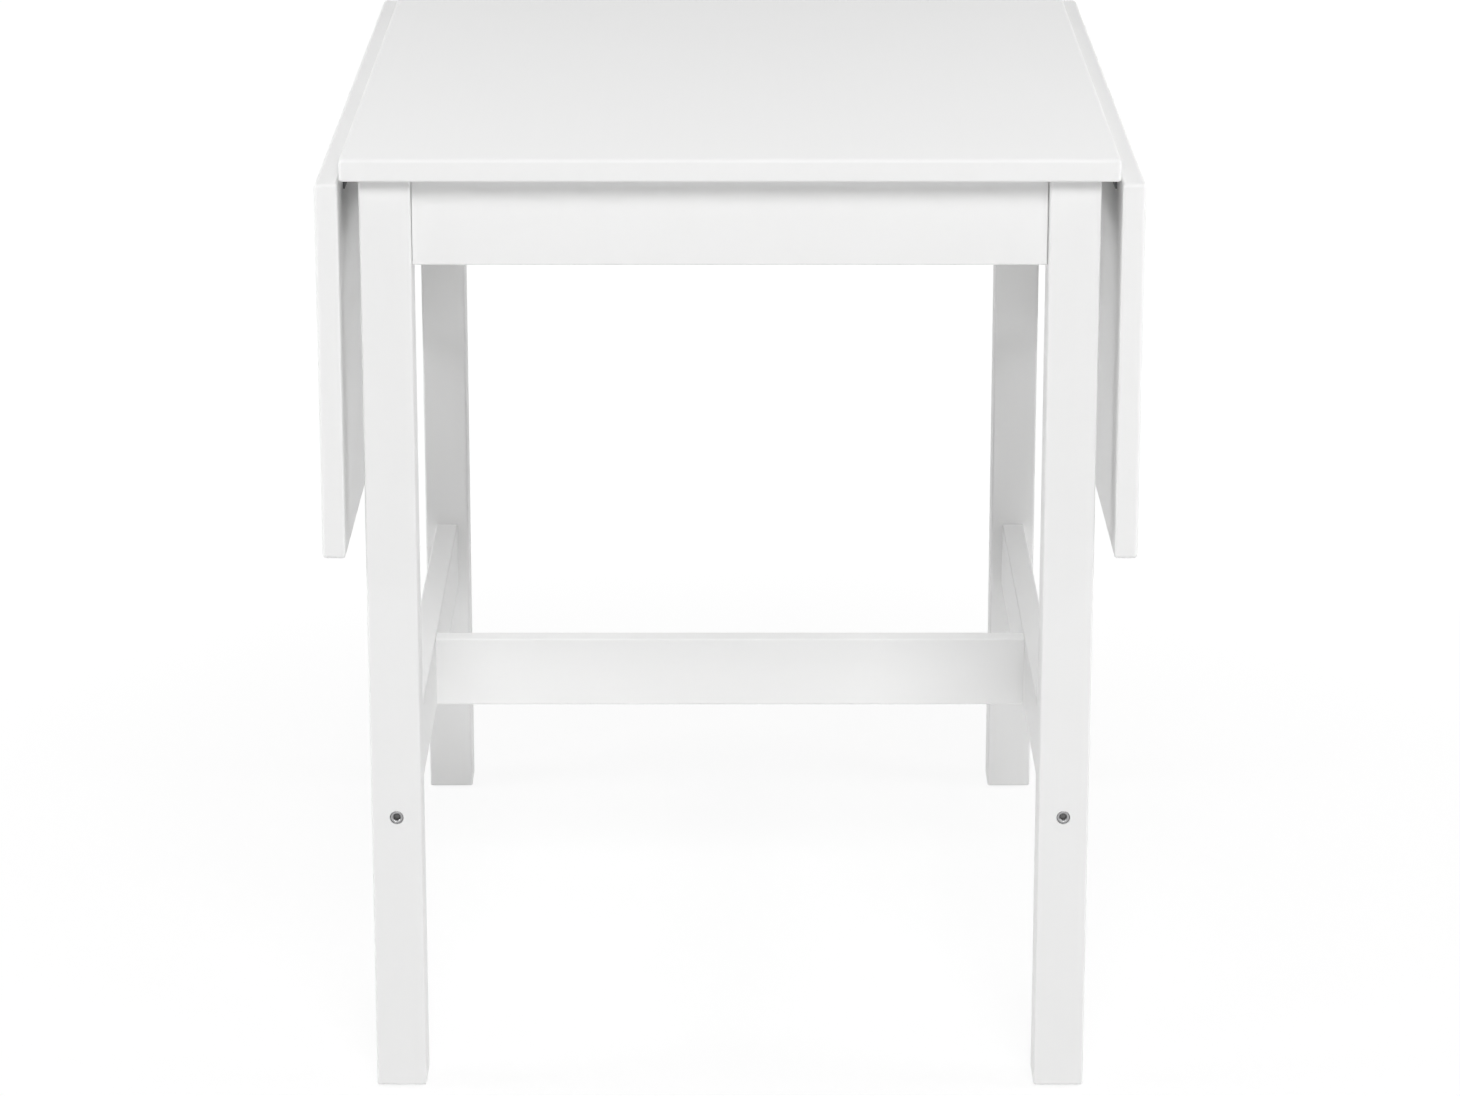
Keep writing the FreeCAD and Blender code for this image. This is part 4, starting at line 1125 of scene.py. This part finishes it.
@dataclass
class SocketBolts:
    """Sunk socket-head bolts that hold the stretchers, each modelled from one form.

    Attributes:
        lead_in_ahead: Start of the lead-in's cutter ahead of the head, as a share of its depth.
        socket_flats: Key socket across its flats.
        leg_twists: Turn of the first leg bolt in its hole, and what each next one adds.
        cross_twists: The same for the cross bolts.
    """

    shank_radius: float = 0.003
    leg_bolt_length: float = 0.0744
    cross_bolt_length: float = 0.0544
    lead_in_radius: float = 0.0035
    lead_in_tip: float = 0.0024
    lead_in_depth: float = 0.0011
    lead_in_ahead: float = 0.25
    socket_sides: int = 6
    socket_flats: float = 0.005
    socket_depth: float = 0.0034
    rim: float = 0.0007
    rim_steps: int = 3
    edge_ease: float = 0.00012
    leg_twists: tuple[float, float] = (0.35, 0.6)
    cross_twists: tuple[float, float] = (0.2, 0.5)
    slot: str = "bolt_steel"

    def form(self, length: float) -> bpy.types.Object:
        """One bolt about the origin, driven along +Y from the face of its head.

        Args:
            length: Whole length.

        Returns:
            The bolt.
        """
        drive = Vector((0.0, 1.0, 0.0))
        under_head = drive * BoltSeat.HEAD_HEIGHT
        bolt = Bench.bar("bolt_form", BoltSeat.HEAD_RADIUS, Vector(), under_head)
        Bench.pick_face(bolt, under_head, drive)
        bpy.ops.mesh.inset(thickness=BoltSeat.HEAD_RADIUS - self.shank_radius)
        shank = drive * (length - BoltSeat.HEAD_HEIGHT)
        bpy.ops.mesh.extrude_region_move(TRANSFORM_OT_translate={"value": shank})
        Bench.rest()

        def on_rim(first: Vector, second: Vector) -> bool:
            """Whether an edge lies on the rim of the head's face."""
            return max(first.y, second.y) < self.rim / 2

        Bench.round_over(bolt, self.rim, self.rim_steps, on_rim)
        Bench.carve(bolt, Bench.bar(
            "socket",
            self.socket_flats / math.sqrt(3.0),
            -drive * self.rim,
            drive * self.socket_depth,
            self.socket_sides,
        ))
        Bench.carve(bolt, self.lead_in())
        Bench.ease(bolt, self.edge_ease)
        Bench.smooth(bolt)
        # Faces inside the key socket take the second finish, the near-black painted shade.
        for face in bolt.data.polygons:
            face.material_index = int(self.in_socket(face.center))
        return bolt

    def in_socket(self, point: Vector) -> bool:
        """Whether a point of the form lies in its key socket, below the lead-in."""
        deep = self.lead_in_depth < point.y < BoltSeat.HEAD_HEIGHT
        return deep and math.hypot(point.x, point.z) < self.shank_radius

    def lead_in(self) -> bpy.types.Object:
        """Cutter for the cone that leads into the key socket.

        Returns:
            The cutter.
        """
        Bench.rest()
        ahead = self.lead_in_ahead * self.lead_in_depth
        slope = (self.lead_in_radius - self.lead_in_tip) / self.lead_in_depth
        bpy.ops.mesh.primitive_cone_add(
            vertices=Bench.ROUND_SIDES,
            radius1=self.lead_in_radius + slope * ahead,
            radius2=self.lead_in_tip,
            depth=self.lead_in_depth + ahead,
            location=(0.0, (self.lead_in_depth - ahead) / 2, 0.0),
            rotation=(-math.pi / 2, 0.0, 0.0),
        )
        return Bench.settle("lead_in")

    @staticmethod
    def set_in(
        form: bpy.types.Object, name: str, seat: BoltSeat, twist: float
    ) -> bpy.types.Object:
        """Copy the form to a seat.

        Args:
            form: Bolt about the origin.
            name: Name of the copy.
            seat: Seat of the copy.
            twist: Turn about the bolt's own axis.

        Returns:
            The copy, with its place in its mesh.
        """
        bolt = Bench.copy(form, name)
        bolt.rotation_euler = (0.0, twist, seat.turn)
        bolt.location = seat.mouth + seat.drive * seat.SINK
        bpy.ops.object.transform_apply(location=True, rotation=True, scale=True)
        return bolt

    def build(self) -> None:
        """Model, copy and dress the bolts."""
        leg_seats = {
            f"{corner_name(end, side)}_leg_bolt": BoltSeat.in_leg(end, side)
            for end, side in CORNERS
        }
        cross_seats = {
            f"{side.name.lower()}_cross_bolt": BoltSeat.in_stretcher(side) for side in Side
        }
        for node, length, (first_twist, more_twist), seats in (
            ("leg_bolts", self.leg_bolt_length, self.leg_twists, leg_seats),
            ("cross_bolts", self.cross_bolt_length, self.cross_twists, cross_seats),
        ):
            form = self.form(length)
            for number, (name, seat) in enumerate(seats.items()):
                bolt = self.set_in(form, name, seat, first_twist + more_twist * number)
                # The second finish paints shade into the key sockets.
                hand_over(bolt, node, self.slot, BOLT_ZINC, SOCKET_PAINTED_SHADE)
            bpy.data.objects.remove(form, do_unlink=True)


@dataclass
class FootGlides:
    """Plastic glides under the legs, modelled as one piece of four discs with pins."""

    radius: float = 0.012
    height: float = 0.002
    rim: float = 0.0008
    rim_steps: int = 3
    pin_radius: float = 0.002
    pin_length: float = 0.016
    pin_sides: int = 16

    def glide(self, end: End, side: Side) -> bpy.types.Object:
        """One disc with its pin.

        Args:
            end: End of the table that the leg is at.
            side: Side of the table that the leg is on.

        Returns:
            The glide.
        """
        low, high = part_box(f"{corner_name(end, side)}_leg")
        foot = Vector(((low.x + high.x) / 2, (low.y + high.y) / 2, 0.0))
        seat = foot + Vector((0.0, 0.0, self.height))
        tip = seat + Vector((0.0, 0.0, self.pin_length))
        disc = Bench.bar("foot_glides_plastic", self.radius, foot, seat)

        def on_floor(first: Vector, second: Vector) -> bool:
            """Whether an edge lies on the floor."""
            return max(first.z, second.z) < self.rim / 2

        Bench.round_over(disc, self.rim, self.rim_steps, on_floor)
        Bench.smooth(disc)
        pin = Bench.bar("pin", self.pin_radius, seat, tip, self.pin_sides)
        return Bench.join([disc, pin])

    def build(self) -> None:
        """Model and dress the four glides."""
        glides = Bench.join([self.glide(end, side) for end, side in CORNERS])
        hand_over(glides, "foot_glides", "glide_plastic", GLIDE_PLASTIC)


@dataclass
class StayArms:
    """Round-ended arms of the folding stays, each with its half of the elbow rivet.

    Attributes:
        end_share: Share of half the width that the ends' rounding takes; under 1, so that
            its edges stay apart.
        crown_share: Share of the rivet head's height that its rounding takes.
    """

    half_width: float = 0.006
    thickness: float = 0.0025
    end_share: float = 0.999
    end_steps: int = 12
    head_radius: float = 0.0045
    head_height: float = 0.0015
    head_sides: int = 32
    crown_share: float = 0.9
    crown_steps: int = 5
    ease_width: float = 0.0003
    slot: str = "plated_steel"

    def arm(self, node: str, pivot: Vector, elbow: Vector, head_out: int) -> bpy.types.Object:
        """Model one arm.

        Args:
            node: CAD node of the arm.
            pivot: Its pivot.
            elbow: Its elbow.
            head_out: Way along Y that its rivet head stands out.

        Returns:
            The arm.
        """
        low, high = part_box(node)
        start, stop = low.y, low.y + self.thickness
        if head_out < 0:
            start, stop = high.y - self.thickness, high.y
        run = elbow - pivot
        half = run.length / 2 + self.half_width
        plate = Bench.block(
            f"{node}_steel",
            Vector((-self.half_width, start, -half)),
            Vector((self.half_width, stop, half)),
        )

        def through(first: Vector, second: Vector) -> bool:
            """Whether an edge runs through the plate."""
            return abs(first.y - second.y) > self.thickness / 2

        Bench.round_over(plate, self.half_width * self.end_share, self.end_steps, through)
        Bench.take(plate)
        plate.rotation_euler = (0.0, math.atan2(run.x, run.z), 0.0)
        middle = (pivot + elbow) / 2
        plate.location = (middle.x, 0.0, middle.z)
        bpy.ops.object.transform_apply(location=True, rotation=True, scale=True)
        Bench.ease(plate, self.ease_width)
        Bench.smooth(plate)
        seat = Vector((elbow.x, start if head_out < 0 else stop, elbow.z))
        outward = Vector((0.0, head_out * self.head_height, 0.0))
        head = Bench.bar("head", self.head_radius, seat, seat + outward, self.head_sides)

        def on_crown(*ends: Vector) -> bool:
            """Whether an edge lies on the head's outer face."""
            return all(abs(end.y - seat.y) > self.head_height / 2 for end in ends)

        Bench.round_over(head, self.head_height * self.crown_share, self.crown_steps, on_crown)
        Bench.smooth(head)
        return Bench.join([plate, head])

    def build(self) -> None:
        """Model and dress the eight arms."""
        pivots = {joint["child"]: Vector(joint["pos_m"]) for joint in frame["joints"]}
        for end, side in CORNERS:
            nodes = [f"{corner_name(end, side)}_{board}_arm" for board in ("apron", "leaf")]
            apron_pivot, leaf_pivot = (pivots[node] for node in nodes)
            fold = (apron_pivot - leaf_pivot) * Vector((1.0, 0.0, 1.0))
            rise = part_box(nodes[0])[1].z - self.half_width - leaf_pivot.z
            elbow = leaf_pivot + fold * (rise / fold.z)
            for node, pivot, head_out in zip(nodes, (apron_pivot, leaf_pivot), (-1, 1)):
                flat_pivot = Vector((pivot.x, elbow.y, pivot.z))
                arm = self.arm(node, flat_pivot, elbow, head_out)
                hand_over(arm, node, self.slot, PRESSED_ZINC)


class CarriedHardware:
    """CAD nodes that keep their shape and take a finish here."""

    @staticmethod
    def finish_for(node: str) -> Finish:
        """Finish of one node.

        Args:
            node: Node's name.

        Returns:
            Its finish.
        """
        if node.endswith("_dowels"):
            return DOWEL_BEECH
        # Hinges take the near-black steel that paints the slit's shade.
        if "hinge" in node:
            return HINGE_PAINTED_SHADE_STEEL
        if node.endswith("_screws"):
            return SCREW_ZINC
        if node in ("barrel_nuts", "leg_studs", "leg_nuts"):
            return NUT_ZINC
        return PRESSED_ZINC

    def build(self) -> None:
        """Dress every node that is still shown."""
        for name, node in frame["nodes"].items():
            if node.hide_render:
                continue
            node.data.materials.clear()
            node.data.materials.append(self.finish_for(name).material())
            LOG.info("piece %s keeps its CAD shape", name)


@dataclass(frozen=True)
class Lamp:
    """Round soft lamp.

    Attributes:
        name: Its name.
        at: Its place.
        target: Point that it is aimed at.
        size: Its diameter.
        watts: Its power.
    """

    name: str
    at: Vector
    target: Vector
    size: float
    watts: float

    def build(self) -> None:
        """Hang the lamp and aim it."""
        Bench.rest()
        turn = (self.target - self.at).to_track_quat("-Z", "Y").to_euler()
        bpy.ops.object.light_add(type="AREA", location=self.at, rotation=turn)
        lamp = bpy.context.object
        lamp.name = self.name
        lamp.data.shape = "DISK"
        lamp.data.size = self.size
        lamp.data.energy = self.watts


@dataclass
class Studio:
    """Pale floor, white surround, soft lamps and the camera.

    Attributes:
        camera_at: Camera's place.
        camera_pitch: Its turn below the level.
        focal_pixels: Its focal length, in pixels of an image as wide as image_width.
        lamps: Lamps to hang.
        cloud_density: Clouds to the metre in the floor's colour.
        floor_white: Brightness of the floor away from the table.
        shadow_share: Share of the lit floor that shows near the table.
        fade_start: Distance at which that share starts to fade.
        fade_rate: What it loses to the metre.
        surround: Light from the world in front.
        backdrop: Light from the world behind the table.
        bounces: Times that light passes between matt surfaces.
    """

    camera_at: Vector
    camera_pitch: float
    focal_pixels: float
    lamps: tuple[Lamp, ...]
    image_width: float = 1460.0
    sensor: float = 36.0
    floor_half: float = 60.0
    floor_light: Colour = (0.9, 0.9, 0.9, 1.0)
    floor_shade: Colour = (0.873, 0.873, 0.873, 1.0)
    cloud_density: float = 3.0
    floor_white: float = 1.02
    shadow_share: float = 0.16
    fade_start: float = 0.5
    fade_rate: float = 1.4
    surround: float = 0.05
    backdrop: float = 0.9
    white: float = 1.0
    bounces: int = 12

    @staticmethod
    def seen(paint: Paint) -> Value:
        """Mark the rays that show the background, in metal too.

        Args:
            paint: Node tree to add the mark to.

        Returns:
            1 for those rays, and 0 for rays that only carry light.
        """
        path = paint.node("ShaderNodeLightPath")
        shown = Value(paint, path.outputs["Is Camera Ray"])
        for way in ("Is Glossy Ray", "Is Transmission Ray"):
            shown = shown.at_least(path.outputs[way])
        return shown

    def build_floor(self) -> None:
        """Pale floor that fades to white away from the table and keeps its shadow near it."""
        Bench.rest()
        bpy.ops.mesh.primitive_plane_add(size=2.0 * self.floor_half)
        floor = Bench.settle("floor")
        material, paint = new_paint("pale floor")
        place = paint.place(even(1.0))
        far = paint.node("ShaderNodeVectorMath", {"operation": "LENGTH"}, {0: place})
        distance = Value(paint, far.outputs["Value"])
        fade = ((distance - self.fade_start) * self.fade_rate).at_least(0.0).at_most(1.0)
        plain = 1.0 - self.shadow_share * (1.0 - fade)
        cloud = paint.noise(even(self.cloud_density), detail=3.0)
        tint = paint.mix(cloud, self.floor_light, self.floor_shade)
        matte = paint.node("ShaderNodeBsdfDiffuse", None, {"Color": tint})
        white = paint.node("ShaderNodeEmission", None, {"Strength": self.floor_white})
        mixed = paint.node("ShaderNodeMixShader", None, {
            0: self.seen(paint) * plain,
            1: matte.outputs["BSDF"],
            2: white.outputs["Emission"],
        })
        paint.node("ShaderNodeOutputMaterial", None, {"Surface": mixed.outputs["Shader"]})
        floor.data.materials.append(material)

    def build_surround(self) -> None:
        """World that shows as white and lights softly, mostly from behind as a backdrop does."""
        world = bpy.data.worlds.new("white surround")
        bpy.context.scene.world = world
        world.use_nodes = True
        paint = Paint(world.node_tree)
        dim, bright, white = (
            paint.node("ShaderNodeBackground", None, {
                "Color": (1.0, 1.0, 1.0, 1.0),
                "Strength": strength,
            })
            for strength in (self.surround, self.backdrop, self.white)
        )
        direction = paint.node("ShaderNodeTexCoord").outputs["Generated"]
        way = paint.node("ShaderNodeSeparateXYZ", None, {0: direction})
        light = paint.node("ShaderNodeMixShader", None, {
            0: Value(paint, way.outputs["Y"]).at_least(0.0),
            1: dim.outputs["Background"],
            2: bright.outputs["Background"],
        })
        mixed = paint.node("ShaderNodeMixShader", None, {
            0: self.seen(paint),
            1: light.outputs["Shader"],
            2: white.outputs["Background"],
        })
        paint.node("ShaderNodeOutputWorld", None, {"Surface": mixed.outputs["Shader"]})

    def build_camera(self) -> None:
        """Camera at the photograph's angle."""
        Bench.rest()
        turn = (math.pi / 2 - self.camera_pitch, 0.0, 0.0)
        bpy.ops.object.camera_add(location=self.camera_at, rotation=turn)
        camera = bpy.context.object
        camera.data.sensor_width = self.sensor
        camera.data.lens = self.focal_pixels / self.image_width * self.sensor
        bpy.context.scene.camera = camera

    def build(self) -> None:
        """Set up everything round the table."""
        bpy.context.scene.view_settings.view_transform = "Standard"
        # White faces a few millimetres apart pass light between them many times.
        bpy.context.scene.cycles.diffuse_bounces = self.bounces
        self.build_camera()
        self.build_floor()
        self.build_surround()
        for lamp in self.lamps:
            lamp.build()


def main() -> None:
    """Build the pieces in order, then the studio."""
    logging.basicConfig(level=logging.INFO, format="%(name)s: %(message)s")
    TopAndLeaves().build()
    LegFrame().build()
    SocketBolts().build()
    FootGlides().build()
    StayArms().build()
    CarriedHardware().build()
    middle = Vector((0.0, 0.0, 0.45))
    left_middle, right_middle = Vector((-0.2, 0.0, 0.4)), Vector((0.2, 0.0, 0.4))
    Studio(
        camera_at=Vector((0.0, -4.0768, 1.5469)),
        camera_pitch=math.radians(16.468),
        focal_pixels=4899.6,
        lamps=(
            Lamp("key lamp", Vector((0.5, -5.1, 4.5)), middle, size=2.7, watts=215.0),
            Lamp("left corner lamp", Vector((-2.3, -2.7, 3.0)), middle, size=1.6, watts=13.0),
            Lamp("right corner lamp", Vector((2.3, -2.7, 3.0)), middle, size=1.6, watts=13.0),
            Lamp("left lamp", Vector((-2.9, -0.4, 1.9)), left_middle, size=1.6, watts=42.0),
            Lamp("right lamp", Vector((2.9, -0.4, 1.9)), right_middle, size=1.6, watts=38.0),
        ),
    ).build()


if __name__ == "__main__":
    main()
